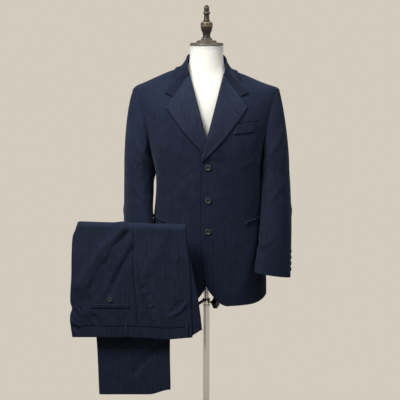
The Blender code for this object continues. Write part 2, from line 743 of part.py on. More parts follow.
def collar_section(station):
    """Points across the collar at one station: up the stand, over the fold and down the fall."""
    values = [read(COLLAR, COLLAR_COLUMNS, name, station) for name in COLLAR_COLUMNS[1:]]
    seam, fold, edge = (Vector(values[k:k + 3]) for k in (0, 3, 6))
    flat = Vector((edge.x - fold.x, edge.y - fold.y, 0.0)).normalized()
    up = Vector((0.0, 0.0, 1.0))
    points = [seam, mix(seam, fold, 0.5) - flat * 0.0006, fold - flat * 0.0018 - up * 0.0022, fold]
    bow = (edge - fold).normalized().cross(flat.cross(up)).normalized()
    if bow.z < 0.0:
        bow = -bow
    outer = [fold + flat * 0.0034 - up * 0.0022]
    if station == COLLAR_STATIONS[-1]:
        # The front end runs down the gorge seam to the notch, and out to the collar's point.
        notch = Vector((NOTCH[0], edge.y, NOTCH[1] + 0.0012))
        outer += [Vector((0.0870, -0.074, 1.4790)), notch, edge]
    else:
        outer += [mix(fold, edge, 0.34) + bow * 0.0020, mix(fold, edge, 0.68) + bow * 0.0012, edge]
    points = [clear_of(FORM, point, CLOTH + STAND_GAP) for point in points]
    return points + [clear_of(BODY, point, CLOTH + FALL_GAP) for point in outer]


def collar():
    """The collar, one folded piece round the neck from notch to notch."""
    half = [collar_section(station) for station in COLLAR_STATIONS]
    mirrored = [[Vector((-p.x, p.y, p.z)) for p in section] for section in half[:0:-1]]
    return cloth_wall("jacket_collar", mirrored + half, CLOTH, "navy_lapel", flip=True)


# ---------------------------------------------------------------- sleeves

SLEEVE_GAP = 0.0010         # between the panels' outer faces and the sleeve's, at the armhole
TURN_STEP = 0.04            # step for slopes round a sleeve, in half turns
PIECE_GAP = 0.0025          # between a sleeve's two pieces, in half turns
UNDER_ARM = 1.2555          # height of the side panel's top edge a quarter in from its seams
HEAD_ROLL = 0.0020          # how much further out the sleeve's head starts, past its own cloth
HEAD_OUT_LEFT = 0.16        # outward lean of the left sleeve's head, as a share of its reach
HEAD_OUT_RIGHT = 0.28
UNDER_OUT = 0.15            # the same lean under the arm
SLEEVE_CLEAR = 0.0018       # least gap between a sleeve and the body beside it
POCKET_THICKNESS = 0.0034   # more beside a hip pocket's strip
FRONT_KNOTS = (1.4655, 1.452, 1.432, 1.405, 1.370, 1.335, 1.300, ARMHOLE_SIDE, UNDER_ARM)
BACK_KNOTS = (1.4655, 1.440, 1.405, 1.370, 1.335, 1.300, ARMHOLE_SIDE, UNDER_ARM)
CAP_ROWS = (0.0, 0.11, 0.27, 0.48, 0.74)
SLEEVE_ROWS = (BICEP, 1.150, 1.105, 1.060, 1.015, 0.975, 0.935, 0.895, CUFF)


def turn_of(height):
    """Half turns round the sleeve, from its outer side, of a height on the armhole."""
    return math.acos(2.0 * (height - ARMPIT) / (SHOULDER_TIP - ARMPIT) - 1.0) / math.pi


@lru_cache(maxsize=None)
def armhole_knots(side):
    """The armhole's corners as (turn, point on the panels' outer face), from under the arm by the back."""

    def knot(turn, height, at_back):
        point = on_body(armhole_around(height, at_back, side) * side, height, CLOTH)
        return turn, Vector((point.x * side, point.y, point.z))

    knots = [knot(-1.0, ARMPIT, True)]
    knots += [knot(-turn_of(height), height, True) for height in BACK_KNOTS[::-1]]
    knots += [knot(turn_of(height), height, False) for height in FRONT_KNOTS]
    return knots + [knot(1.0, ARMPIT, False)]


def armhole_point(turn, side):
    """Point of the sleeve's upper edge, just outside the straight edges of the panels."""
    turn = (turn + 1.0) % 2.0 - 1.0
    knots = armhole_knots(side)
    for (first, start), (second, end) in zip(knots, knots[1:]):
        if turn <= second:
            break
    top = 0.5 + 0.5 * math.cos(turn * math.pi)
    out = SLEEVE_GAP + HEAD_ROLL * top ** 2
    return mix(start, end, (turn - first) / (second - first)) + Vector((out, 0.0, 0.0))


TOP_TURNS = (-turn_of(1.335), -turn_of(1.370), -turn_of(1.405), -turn_of(1.440), -0.115, 0.0, 0.083,
             turn_of(1.452), turn_of(1.432), turn_of(1.405), turn_of(1.370), turn_of(1.335), turn_of(1.300))
UNDER_TURNS = (turn_of(1.300) + PIECE_GAP, turn_of(ARMHOLE_SIDE), turn_of(UNDER_ARM), 1.0,
               2.0 - turn_of(UNDER_ARM), 2.0 - turn_of(ARMHOLE_SIDE), 2.0 - turn_of(1.300),
               2.0 - turn_of(1.335) - PIECE_GAP)


def sleeve_value(name, height, side):
    """Value of a column of the left sleeve's table or the right's."""
    return read(LEFT_SLEEVE if side > 0 else RIGHT_SLEEVE, SLEEVE_COLUMNS, name, height)


def sleeve_ring_point(turn, height, side):
    """Point of a sleeve's outer face, on the left. "turn" is in half turns from the outer side, forwards."""
    across, ahead, half_depth, half_width, swing = (
        sleeve_value(name, height, side) for name in SLEEVE_COLUMNS[1:])
    swing = math.radians(swing)
    outward = Vector((math.cos(swing), -math.sin(swing), 0.0))
    forward = Vector((-math.sin(swing), -math.cos(swing), 0.0))
    angle = turn * math.pi
    point = Vector((across, ahead, height)) + outward * ((half_width + CLOTH) * math.cos(angle))
    point += forward * ((half_depth + CLOTH) * math.sin(angle))
    point.z += CUFF_TILT * math.sin(angle) * (1.0 - smooth_step(CUFF, 1.02, height))
    return point


def sleeve_point(turn, row, side):
    """Point of a sleeve's outer face: rows up to 1 run from the armhole to the first free ring."""
    if row >= 1.0:
        height = SLEEVE_ROWS[int(row) - 1]
        point = sleeve_ring_point(turn, height, side)
    else:
        start, end = armhole_point(turn, side), sleeve_ring_point(turn, BICEP, side)
        reach = (end - start).length
        top = 0.5 + 0.5 * math.cos(turn * math.pi)
        ahead = math.sin(turn * math.pi)
        head = HEAD_OUT_LEFT if side > 0 else HEAD_OUT_RIGHT
        leave = Vector((mix(UNDER_OUT, head, top), -0.30 * ahead, mix(-0.75, -0.42, top))) * reach
        arrive = Vector((0.0, 0.0, -0.9)) * reach
        t = row
        point = (start * ((1 + 2 * t) * (1 - t) ** 2) + leave * (t * (1 - t) ** 2)
                 + end * (t * t * (3 - 2 * t)) + arrive * (t * t * (t - 1)))
    middle = Vector((sleeve_value("across", point.z, side), sleeve_value("ahead", point.z, side), point.z))
    away = (point - middle).normalized()
    point += away * (folds(SLEEVE_FOLDS, turn, point.z) * min(1.0, row * 3.0))
    if row > 0.3:
        over_pocket = POCKET_THICKNESS * (1.0 - smooth_step(0.020, 0.050, abs(point.z - POCKET_HEIGHT)))
        over_fold = max(relief(Vector((point.x * side, point.y, point.z))), 0.0)
        gap = CLOTH + SLEEVE_CLEAR + over_pocket + over_fold
        point = clear_of(BODY, point, gap, side > 0)
    return point


def sleeve_piece(name, side, turns):
    """Part of a sleeve between two of its long seams: the grid is its outer face."""
    rows = CAP_ROWS + tuple(float(k) for k in range(1, len(SLEEVE_ROWS) + 1))
    last = len(rows) - 1
    grid, normals = [], []
    for i, row in enumerate(rows):
        above, below = rows[max(i - 1, 0)], rows[min(i + 1, last)]
        line, line_normals = [], []
        for turn in turns:
            turn = turn - 2.0 if turn > 1.0 else turn
            point = sleeve_point(turn, row, side)
            ahead = sleeve_point(turn + TURN_STEP, row, side) - sleeve_point(turn - TURN_STEP, row, side)
            down = sleeve_point(turn, below, side) - sleeve_point(turn, above, side)
            normal = ahead.cross(down).normalized()
            line.append(Vector((point.x * side, point.y, point.z)))
            line_normals.append(Vector((normal.x * side, normal.y, normal.z)))
        grid.append(line)
        normals.append(line_normals)
    return cloth_wall(name, grid, CLOTH, "navy_wool", normals, flip=True)


def sleeves():
    for side, word in ((1, "left"), (-1, "right")):
        sleeve_piece("sleeve_top_" + word, side, TOP_TURNS)
        sleeve_piece("sleeve_under_" + word, side, UNDER_TURNS)


# ---------------------------------------------------------------- what lies on the jacket


# Across a jetted pocket's strip: two soft lips with the slit between them.
GROOVED_SHARES = (0.0, 0.42, 0.50, 0.58, 1.0)
GROOVED_RISES = (0.0, 0.0007, -0.0003, 0.0007, 0.0)


def strip_on_body(name, side, corners, out, wall, groove, columns):
    """A strip lying on a front, from corners (around, height): lower inner and outer, then upper."""
    lower_in, lower_out, upper_in, upper_out = corners
    shares = (0.0, 0.5, 1.0) if not groove else GROOVED_SHARES
    rises = (0.0, 0.0, 0.0) if not groove else GROOVED_RISES
    grid, outs = [], []
    for share, rise in zip(shares, rises):
        row = []
        for j in range(columns + 1):
            t = j / columns
            around = mix(mix(lower_in[0], lower_out[0], t), mix(upper_in[0], upper_out[0], t), share)
            z = mix(mix(lower_in[1], lower_out[1], t), mix(upper_in[1], upper_out[1], t), share)
            row.append((around * side, z))
        grid.append([on_body(around, z, out) for around, z in row])
        outs.append([body_normal(around, z) * ((wall + rise) / wall) for around, z in row])
    return cloth_wall(name, grid, wall, "navy_wool", outs)


def button_on(name, centre, normal, radius, thickness, sides=16):
    """A turned button with a dished face and a raised rim."""
    profile = ((0.0, radius * 0.62), (thickness * 0.55, radius), (thickness, radius * 0.90),
               (thickness * 0.78, radius * 0.70))
    return turned(name, profile, centre, normal, sides, "button")


def jacket_details():
    """Chest welt, hip pockets and buttons."""
    on_front = CLOTH + 0.0014
    welt = ((0.0820, 1.3230), (0.1590, 1.3310), (0.0975, 1.3560), (0.1620, 1.3635))
    welt = tuple((around_at(x, z), z) for x, z in welt)
    strip_on_body("chest_welt", 1, welt, on_front, 0.0016, False, 6)
    for side, word in ((1, "left"), (-1, "right")):
        start = abs(around_at(0.1210 * side, 1.030))
        pocket = ((start, 1.0265), (POCKET_END, 1.0400), (start, 1.0370), (POCKET_END, 1.0505))
        strip_on_body("hip_pocket_" + word, side, pocket, on_front + 0.0006, 0.0014, True, 9)
    for number, height in enumerate(FRONT_BUTTON_HEIGHTS, 1):
        around = around_at(FRONT_BUTTON_ACROSS, height)
        stand = lap_out(FRONT_BUTTON_ACROSS, height) + CLOTH + 0.0006
        centre = on_body(around, height, stand)
        way = body_normal(around, height)
        button_on(f"front_button_{number}", centre, way, FRONT_BUTTON_RADIUS, 0.0038)
    for side, word in ((1, "left"), (-1, "right")):
        for number in range(CUFF_BUTTONS):
            height = CUFF + 0.024 + CUFF_BUTTON_PITCH * number
            turn = -0.40
            point = sleeve_ring_point(turn, height, side)
            ahead = sleeve_ring_point(turn + 0.02, height, side) - point
            above = sleeve_ring_point(turn, height + 0.01, side) - point
            normal = above.cross(ahead).normalized()
            if normal.x < 0.0:
                normal = -normal
            centre = point + normal * 0.0012
            centre.x *= side
            normal.x *= side
            button_on(f"cuff_button_{word}_{number + 1}", centre, normal, CUFF_BUTTON_RADIUS, 0.0030, 10)


# ---------------------------------------------------------------- trousers

BAR_RADIUS_IN = ROD_RADIUS + 0.0007     # inner face of the cloth round the bar
LEFT_LEG_OUT = LINE + HIDDEN_LAYERS + 2.0 * LAYER_GAP
MIDDLE_OUT = LINE + LAYER_GAP + HIDDEN_LAYERS / 2.0
COURSES = (0.0, 0.052, 0.104, 0.17, 0.25, 0.34, 0.43, 0.53, 0.63, 0.73, 0.83, 0.92, 1.0,
           1.25, 1.5, 1.75, 2.0, 2.10, 2.22, 2.34, 2.46, 2.58, 2.72, 2.86, 3.0)


COURSE_PROBE = 0.012


def bar_height(x):
    """Height of the bar's axis, which falls a little towards the pole."""
    return BAR_HEIGHT - BAR_DROP * (x - BAR_ENDS[0])


def trouser_hem(x):
    """Height of the trousers' hem, higher at the front crease."""
    return TROUSER_HEM + TROUSER_HEM_RISE * smooth_step(-0.190, -0.120, x)


def spread(course):
    """How far the cloth bellies away from the rod, clear of the bar."""
    return 0.0040 * (1.0 - smooth_step(0.70, 0.97, course)) + 0.0030 * smooth_step(2.03, 2.30, course)


def drape(x, course, out):
    """Point of the hanging trousers: course 0 to 1 up in front, to 2 over the bar, to 3 down behind."""
    top = bar_height(x)
    out += spread(course)
    if course <= 1.0:
        height = mix(WAIST_EDGE, top, course)
        out += folds(TROUSER_FRONT_FOLDS, x, height)
        return Vector((x, BAR_Y - BAR_RADIUS_IN - out, height))
    if course <= 2.0:
        angle = math.pi * (course - 1.0)
        near = folds(TROUSER_FRONT_FOLDS, x, top) * (2.0 - course)
        far = folds(TROUSER_BACK_FOLDS, x, top) * (course - 1.0)
        reach = BAR_RADIUS_IN + out + near + far
        return Vector((x, BAR_Y - reach * math.cos(angle), top + reach * math.sin(angle)))
    height = mix(top, trouser_hem(x), course - 2.0)
    out += folds(TROUSER_BACK_FOLDS, x, height)
    return Vector((x, BAR_Y + BAR_RADIUS_IN + out, height))


def drape_normal(x, course):
    """Direction away from the bar, square to the hanging cloth."""
    across = drape(x + PROBE, course, 0.0) - drape(x - PROBE, course, 0.0)
    along = drape(x, course + COURSE_PROBE, 0.0) - drape(x, course - COURSE_PROBE, 0.0)
    return across.cross(along).normalized()


def edge_at(name, course):
    return read(TROUSER, TROUSER_COLUMNS, name, course)


def course_of(height):
    """Course on the front drop of a height, at the side seam."""
    return (height - WAIST_EDGE) / (bar_height(-0.22) - WAIST_EDGE)


def leg_panel(name, leg, part, first_course):
    """A leg's visible half, front or back, from its crease to the side seam."""
    outer = leg == "left"
    courses = [course for course in COURSES if course > first_course + 0.02]
    courses.insert(0, first_course)
    grid = []
    for course in courses:
        seam = edge_at("side_seam", course)
        if part == "front":
            crease = edge_at("front_edge" if outer else "second_edge", course)
            inward = -1.0
        else:
            crease = edge_at("seat_edge", course) + (0.0 if outer else 0.0016)
            inward = 1.0
        flat_out = LEFT_LEG_OUT if outer else LINE
        middle = MIDDLE_OUT + (0.0012 if outer else -0.0012)
        start = seam - inward * (SEAM * 0.5)
        rows = [(mix(start, crease + inward * 0.012, share), flat_out) for share in (0.0, 0.33, 0.66, 1.0)]
        rows += [(crease + inward * 0.0045, mix(flat_out, middle, 0.12)),
                 (crease + inward * 0.0012, mix(flat_out, middle, 0.45)), (crease, middle)]
        if (part == "front") == outer:
            rows = rows[::-1]
        grid.append([drape(x, course, out) for x, out in rows])
    # At the side seam both halves of the leg share one direction, so that their walls keep apart.
    normals = grid_normals(grid)
    at_seam = -1 if (part == "front") == outer else 0
    for line, course in zip(normals, courses):
        seam = edge_at("side_seam", course)
        line[at_seam] = drape_normal(seam, course) * (-1.0 if outer else 1.0)
    return cloth_wall(name, grid, LINE, "navy_wool", normals, flip=True)


def waistband(name, leg):
    """Half the waistband, along the folded waist."""
    outer = leg == "left"
    low = 0.0 if outer else course_of(WAIST_EDGE + SECOND_WAIST_STEP)
    high = course_of(WAIST_EDGE + WAISTBAND + (0.0 if outer else SECOND_WAIST_STEP))
    flat_out = LEFT_LEG_OUT if outer else LINE
    middle = MIDDLE_OUT + (0.0012 if outer else -0.0012)
    grid = []
    for course in (low, mix(low, high, 0.5), high - 0.0010):
        left = edge_at("seat_edge", course) + (0.0 if outer else 0.0016)
        right = edge_at("front_edge" if outer else "second_edge", course)
        places = [(left, middle), (left + 0.0012, mix(flat_out, middle, 0.45)),
                  (left + 0.0045, mix(flat_out, middle, 0.12))]
        places += [(mix(left + 0.012, right - 0.012, k / 8.0), flat_out) for k in range(9)]
        places += [(right - 0.0045, mix(flat_out, middle, 0.12)),
                   (right - 0.0012, mix(flat_out, middle, 0.45)), (right, middle)]
        grid.append([drape(x, course, out) for x, out in places])
    return cloth_wall(name, grid, LINE, "navy_wool", flip=not outer)


def hidden_layers():
    """The folded legs' hidden sides as one rounded solid, with its layers showing at its edges."""
    low = LINE + LAYER_GAP
    high = low + HIDDEN_LAYERS
    middle = (low + high) / 2.0
    shares = (1.0, 0.66, 0.33)
    rings = []
    for course in (0.008,) + COURSES[1:-1] + (2.994,):
        left, seam = edge_at("seat_edge", course), edge_at("side_seam", course)
        right = edge_at("front_edge", course)
        second = max(edge_at("second_edge", course), right + 0.0006)
        start = left + 0.0016
        ring = [(start + 0.0036, low + 0.0014)]
        ring += [(mix(seam, start + 0.012, share), low) for share in shares] + [(seam, low)]
        ring += [(mix(seam, second - 0.012, share), low) for share in shares[::-1]]
        ring += [(second - 0.0036, low + 0.0014), (second - 0.0036, middle - 0.0010)]
        ring += [(right - 0.0030, middle - 0.0007), (right - 0.0066, middle)]
        ring += [(right - 0.0036, middle + 0.0006)]
        ring += [(right - 0.0036, high - 0.0014)]
        ring += [(mix(seam, right - 0.012, share), high) for share in shares] + [(seam, high)]
        ring += [(mix(seam, left + 0.012, share), high) for share in shares[::-1]]
        ring += [(left + 0.0036, high - 0.0014), (left + 0.0036, middle + 0.0006)]
        ring += [(left + 0.0066, middle), (start + 0.0036, middle - 0.0006)]
        rings.append([drape(x, course, out) for x, out in ring])
    return ringed_solid("trouser_hidden_layers", rings, "navy_wool")


def strip_on_trousers(name, leg, corners, wall, groove, columns):
    """A strip lying on a leg, from four corners (across, height): lower and upper, left and right."""
    outer = leg == "left"
    base = LEFT_LEG_OUT + LINE + STRIP_GAP if outer else -STRIP_GAP
    lower_in, lower_out, upper_in, upper_out = corners
    shares = (0.0, 1.0) if not groove else GROOVED_SHARES
    rises = (0.0, 0.0) if not groove else GROOVED_RISES
    grid, outs = [], []
    for share, rise in zip(shares, rises):
        row = []
        for j in range(columns + 1):
            t = j / columns
            x = mix(mix(lower_in[0], lower_out[0], t), mix(upper_in[0], upper_out[0], t), share)
            z = mix(mix(lower_in[1], lower_out[1], t), mix(upper_in[1], upper_out[1], t), share)
            row.append(drape(x, (z - WAIST_EDGE) / (bar_height(x) - WAIST_EDGE), base))
        grid.append(row)
        way = Vector((0.0, -1.0 if outer else 1.0, 0.0))
        outs.append([way * ((wall + rise) / wall) for _ in row])
    return cloth_wall(name, grid, wall, "navy_wool", outs)


def trousers():
    band_top = {"left": course_of(WAIST_EDGE + WAISTBAND),
                "right": course_of(WAIST_EDGE + WAISTBAND + SECOND_WAIST_STEP)}
    hidden_layers()
    for leg in ("left", "right"):
        for part in ("front", "back"):
            leg_panel(f"trouser_{leg}_{part}", leg, part, band_top[leg])
        waistband("waistband_" + leg, leg)
        step = 0.0 if leg == "left" else SECOND_WAIST_STEP
        pocket = ((-0.369, 0.7815), (-0.246, 0.7815), (-0.369, 0.7925), (-0.246, 0.7925))
        pocket = tuple((x, z + step) for x, z in pocket)
        strip_on_trousers("back_pocket_" + leg, leg, pocket, 0.0014, True, 6)
        slant = ((-0.1785, 0.734), (-0.1740, 0.734), (-0.2250, 0.884), (-0.2205, 0.884))
        slant = tuple((x, z + step) for x, z in slant)
        strip_on_trousers("slant_pocket_" + leg, leg, slant, 0.0010, False, 1)
        base = WAIST_EDGE + step
        for number, x in enumerate((-0.257, -0.0635), 1):
            loop = ((x - 0.0045, base + 0.003), (x + 0.0045, base + 0.003),
                    (x - 0.0045, base + 0.051), (x + 0.0045, base + 0.051))
            strip_on_trousers(f"belt_loop_{leg}_{number}", leg, loop, 0.0020, False, 1)
        way = -1.0 if leg == "left" else 1.0
        place = drape(-0.308, course_of(0.8075 + step), 0.0)
        depth = LEFT_LEG_OUT + LINE + STRIP_GAP if leg == "left" else -STRIP_GAP
        place.y -= depth
        button_on("back_pocket_button_" + leg, place, (0.0, way, 0.0), 0.0075, 0.0028, 10)


# ---------------------------------------------------------------- form, stand and bar


def dress_form():
    """The limbless padded form that wears the jacket, from its hip to the top of its neck."""
    rings = []
    sides = 24
    for row in FORM:
        width, front, back, side, roundness = row[1:]
        ring = []
        for k in range(sides):
            angle = 2.0 * math.pi * (k + 0.5) / sides
            across, ahead = math.sin(angle), math.cos(angle)
            depth = side - front if ahead > 0.0 else back - side
            x = math.copysign(width * abs(across) ** (2.0 / roundness), across)
            y = side - math.copysign(depth * abs(ahead) ** (2.0 / roundness), ahead)
            ring.append(Vector((x, y, row[0])))
        rings.append(ring)
    ringed_solid("dress_form", rings, "form_linen")


def cap_and_finial():
    """The turned cap on the neck, and the finial that stands on it."""
    up = (0.0, 0.0, 1.0)
    cap = ((0.0, 0.0540), (0.0022, 0.0558), (0.0062, 0.0558), (0.0098, 0.0520), (0.0118, 0.0345),
           (0.0180, 0.0300), (0.0188, 0.0180))
    turned("neck_cap", cap, (0.0, 0.0, FORM_TOP + SEAM), up, POLE_SIDES, "dark_bronze")
    finial = ((0.0, 0.0176), (0.0070, 0.0172), (0.0135, 0.0128), (0.0190, 0.0126), (0.0290, 0.0165),
              (0.0400, 0.0190), (0.0500, 0.0201), (0.0540, 0.0186), (0.0590, 0.0120), (0.0680, 0.0088),
              (0.0820, 0.0084), (0.0850, 0.0120), (0.0890, 0.0120), (0.0915, 0.0078), (0.0950, 0.0082),
              (0.1010, 0.0089), (0.1070, 0.0078), (0.1105, 0.0046), (0.1120, 0.0015))
    base = FORM_TOP + 0.0188 + 2.0 * SEAM
    turned("finial", finial, (0.0, 0.0, base), up, 14, "dark_bronze")


def stand():
    """Base, two poles, their lock and its knob."""
    up = (0.0, 0.0, 1.0)
    base = ((0.0, BASE_RADIUS), (BASE_HEIGHT - 0.002, BASE_RADIUS), (BASE_HEIGHT, BASE_RADIUS - 0.003),
            (BASE_HEIGHT, 0.034), (0.028, 0.026))
    turned("stand_base", base, (0.0, 0.0, 0.0), up, 36, "base_steel")
    start = 0.028 + SEAM
    length = LOWER_POLE_TOP - start
    bore = LOWER_POLE_RADIUS - LOWER_POLE_WALL
    pole = ((0.0, LOWER_POLE_RADIUS), (length, LOWER_POLE_RADIUS))
    turned("lower_pole", pole, (0.0, 0.0, start), up, POLE_SIDES, "chrome",
           inner=((length, bore), (0.0, bore)))
    lock = ((0.0, LOCK_RADIUS - 0.001), (0.002, LOCK_RADIUS), (LOCK_HEIGHT - 0.002, LOCK_RADIUS),
            (LOCK_HEIGHT, LOCK_RADIUS - 0.001))
    turned("lock_collar", lock, (0.0, 0.0, LOWER_POLE_TOP + SEAM), up, POLE_SIDES, "chrome",
           inner=((LOCK_HEIGHT, bore), (0.0, bore)))
    length = FORM_BOTTOM - 0.0123 - UPPER_POLE_BOTTOM
    turned("upper_pole", ((0.0, UPPER_POLE_RADIUS), (length, UPPER_POLE_RADIUS)),
           (0.0, 0.0, UPPER_POLE_BOTTOM), up, POLE_SIDES, "chrome")
    turned("form_socket", ((0.0, 0.020), (0.009, 0.034), (0.0120 - SEAM, 0.034)),
           (0.0, 0.0, FORM_BOTTOM - 0.0120), up, POLE_SIDES, "chrome")
    axis = Vector(KNOB_AXIS).normalized()
    origin = Vector((0.0, 0.0, LOWER_POLE_TOP + 0.0145)) + axis * (KNOB_START / math.hypot(axis.x, axis.y))
    knob = ((0.0, 0.0042), (0.0050, 0.0042), (0.0065, 0.0080), (0.0110, 0.0100), (0.0120, 0.0190),
            (0.0245, 0.0200), (0.0275, 0.0175), (0.0280, 0.0080))
    turned("lock_knob", knob, origin, axis, 20, "black_plastic", lobes=5, lobe_depth=0.22)


def trouser_carrier():
    """A clamp ring on the upper pole, and the bent rod whose last reach is the bar."""
    up = (0.0, 0.0, 1.0)
    ring_low = LOWER_POLE_TOP + LOCK_HEIGHT + 0.0010
    bore = UPPER_POLE_RADIUS + SEAM
    turned("arm_clamp", ((0.0, 0.0135), (0.0040, 0.0135)), (0.0, 0.0, ring_low), up, POLE_SIDES,
           "black_steel", inner=((0.0040, bore), (0.0, bore)))
    low = ring_low + 0.0020
    corners = ((-0.0076, -0.0132, low), (-0.0300, -0.0522, 0.7405), (-0.078, BAR_Y, 0.7440),
               (-0.078, BAR_Y, bar_height(-0.078)), (BAR_ENDS[0], BAR_Y, bar_height(BAR_ENDS[0])))
    rod("trouser_arm", rounded_route(corners, 0.018, 5), ROD_RADIUS, "black_steel")


def main():
    for old in list(bpy.data.objects):
        bpy.data.objects.remove(old)
    for side, word in ((1, "left"), (-1, "right")):
        jacket_front("jacket_front_" + word, side)
        jacket_side("jacket_side_" + word, side)
        jacket_back("jacket_back_" + word, side)
        lapel("lapel_" + word, side)
    collar()
    sleeves()
    jacket_details()
    trousers()
    dress_form()
    cap_and_finial()
    stand()
    trouser_carrier()


main()
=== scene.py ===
"""Looks of a two-piece suit: a jacket on a dress form, and its trousers folded over a bar.

Metres, in the frame of the CAD part: +Z up, -Y the suit's front, +X the wearer's left.
Tables are in millimetres. Every cloth is a thin closed shell on the same formulas as its solid,
with finer folds.
"""

import math

import bpy
import numpy as np
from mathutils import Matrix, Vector


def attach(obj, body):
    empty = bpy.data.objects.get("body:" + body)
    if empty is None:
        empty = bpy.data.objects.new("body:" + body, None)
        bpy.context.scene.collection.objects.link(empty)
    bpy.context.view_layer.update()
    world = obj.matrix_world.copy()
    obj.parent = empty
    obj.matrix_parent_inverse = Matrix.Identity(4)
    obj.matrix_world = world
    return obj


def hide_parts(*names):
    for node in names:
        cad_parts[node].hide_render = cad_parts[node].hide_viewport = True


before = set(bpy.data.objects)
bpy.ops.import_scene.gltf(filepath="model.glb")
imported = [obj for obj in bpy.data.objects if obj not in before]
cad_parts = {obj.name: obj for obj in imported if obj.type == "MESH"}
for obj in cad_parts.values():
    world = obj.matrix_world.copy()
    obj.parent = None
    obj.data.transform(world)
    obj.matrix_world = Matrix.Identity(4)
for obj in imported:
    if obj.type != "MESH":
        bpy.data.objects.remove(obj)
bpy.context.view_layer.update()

# ---------------------------------------------------------------- sizes shared with the solids

MM = 0.001
CLOTH = 0.0018         # wall of the jacket's cloth
LINE = 0.0016          # wall of the trousers' cloth
SHOULDER_TIP = 1.466
ARMPIT = 1.251
ARMHOLE_SIDE = 1.269
BICEP = 1.195
CUFF = 0.858
CUFF_TILT = 0.015
HEM = 0.7575
HEM_RISE = 0.020
NECK_TOP = 1.540
NECK_EDGE = 0.0690
LAPEL_BREAK = (-0.016, 1.235)
LAPEL_ROLL_TOP = (0.069, 1.557)
LAPEL_TIP = (0.1285, 1.4070)
NOTCH = (0.1065, 1.4395)
GORGE_TOP = (0.0580, 1.5115)
LAPEL_BELLY = 0.0075
FORM_BOTTOM = 0.860
FORM_TOP = 1.6017
NECK_RADIUS = 0.0549
ROD_RADIUS = 0.005
BAR_Y = -0.207
BAR_HEIGHT = 1.0410
BAR_DROP = 0.0326
BAR_ENDS = (-0.398, -0.088)
WAIST_EDGE = 0.683
WAISTBAND = 0.0375
TROUSER_HEM = 0.479
TROUSER_HEM_RISE = 0.016
HIDDEN_LAYERS = 0.0056
LAYER_GAP = 0.0008
STRIP_GAP = 0.0010
SECOND_WAIST_STEP = 0.0165
FRONT_SIDE_SEAM = 0.430
BACK_SIDE_SEAM = 0.610
POCKET_HEIGHT = 1.040
POCKET_END = 0.462
POCKET_THICKNESS = 0.0034
LAP = CLOTH + 0.0009
LAPEL_LAP = 0.0046
SLEEVE_GAP = -0.0003   # the sleeve's head is sewn to the panels, and lower down it touches the body
UNDER_OUT = 0.15
HEAD_OUT = {1: 0.16, -1: 0.28}
LOWER_POLE_TOP = 0.7225
SEAM = 0.0003
SIDES = ((1, "left"), (-1, "right"))


def table(*rows, plain=()):
    """Rows of millimetres in metres, apart from the plain columns."""
    scale = np.full(len(rows[0]), MM)
    scale[list(plain)] = 1.0
    return np.array(rows, float) * scale


# ---------------------------------------------------------------- tables

# height, half_width, front, back, side, roundness
BODY = table(
    (750, 204, -133, 123, 0, 2.4), (850, 201, -136, 124, 0, 2.4), (950, 190, -137, 119, 0, 2.4),
    (1050, 173.5, -135.5, 109, 0, 2.4), (1140, 165.5, -134.5, 103, 0, 2.4), (1200, 169, -135, 107, 0, 2.4),
    (1260, 186, -136, 115, 0, 2.4), (1320, 205, -134, 120, 0, 2.35), (1370, 219, -128, 121, 2, 2.2),
    (1410, 228.5, -118, 118, 4, 2), (1440, 235, -107, 112, 6, 1.75), (1466.5, 236.5, -94.5, 104, 8, 1.45),
    (1485, 197, -83.5, 96, 10, 1.42), (1506, 150, -69.5, 86.5, 11, 1.46), (1525, 106, -55, 78, 12, 1.6),
    (1540, 75, -42, 71, 12, 1.8), (1556, 62, -36, 67, 12, 2), plain=(5,))
# height, how much wider the wearer's left half is
LEFT_EXTRA = table(
    (850, 0), (950, 2), (1050, 7.5), (1140, 14), (1200, 10), (1260, 2), (1300, 0))
# height, across in front, across behind
ARMHOLE = table(
    (ARMHOLE_SIDE / MM, 183.7, 179), (1285, 184.8, 183.8), (1300, 186.5, 188.5), (1335, 191.5, 197),
    (1370, 199, 205), (1405, 210, 215), (1440, 223.5, 226), (SHOULDER_TIP / MM, 237, 237))
# height, across of the front edge
FRONT_EDGE = table(
    (HEM / MM, 64), (765, 48), (772, 40), (786, 26.2), (800, 15.5), (812, 7.8), (827, 0.2), (845, -4.2),
    (870, -7.8), (910, -12.2), (960, -16), (1100, -18), (LAPEL_BREAK[1] / MM, LAPEL_BREAK[0] / MM))
# the form, in the body's columns
FORM = table(
    (FORM_BOTTOM / MM, 148, -100, 93, 0, 2.3), (950, 156, -107, 96, 0, 2.3), (1050, 150, -108, 88, 0, 2.3),
    (1140, 144, -110, 84, 0, 2.3), (1220, 153, -115, 90, 0, 2.35), (1300, 170, -119, 99, 0, 2.35),
    (1360, 183, -115, 104, 2, 2.25), (1410, 193, -104, 101, 4, 2.05), (1440, 196, -93, 95, 6, 1.85),
    (1462, 193, -83, 88, 8, 1.65), (1478, 177, -75, 81, 8, 1.6), (1495, 138, -64, 72, 8, 1.65),
    (1512, 99, -57.5, 65, 6, 1.75), (1528, 70, -55.5, 59, 3, 1.9), (1548, 58, -NECK_RADIUS / MM, 56, 0, 2),
    (1566, NECK_RADIUS / MM, -NECK_RADIUS / MM, NECK_RADIUS / MM, 0, 2),
    (FORM_TOP / MM, NECK_RADIUS / MM, -NECK_RADIUS / MM, NECK_RADIUS / MM, 0, 2), plain=(5,))
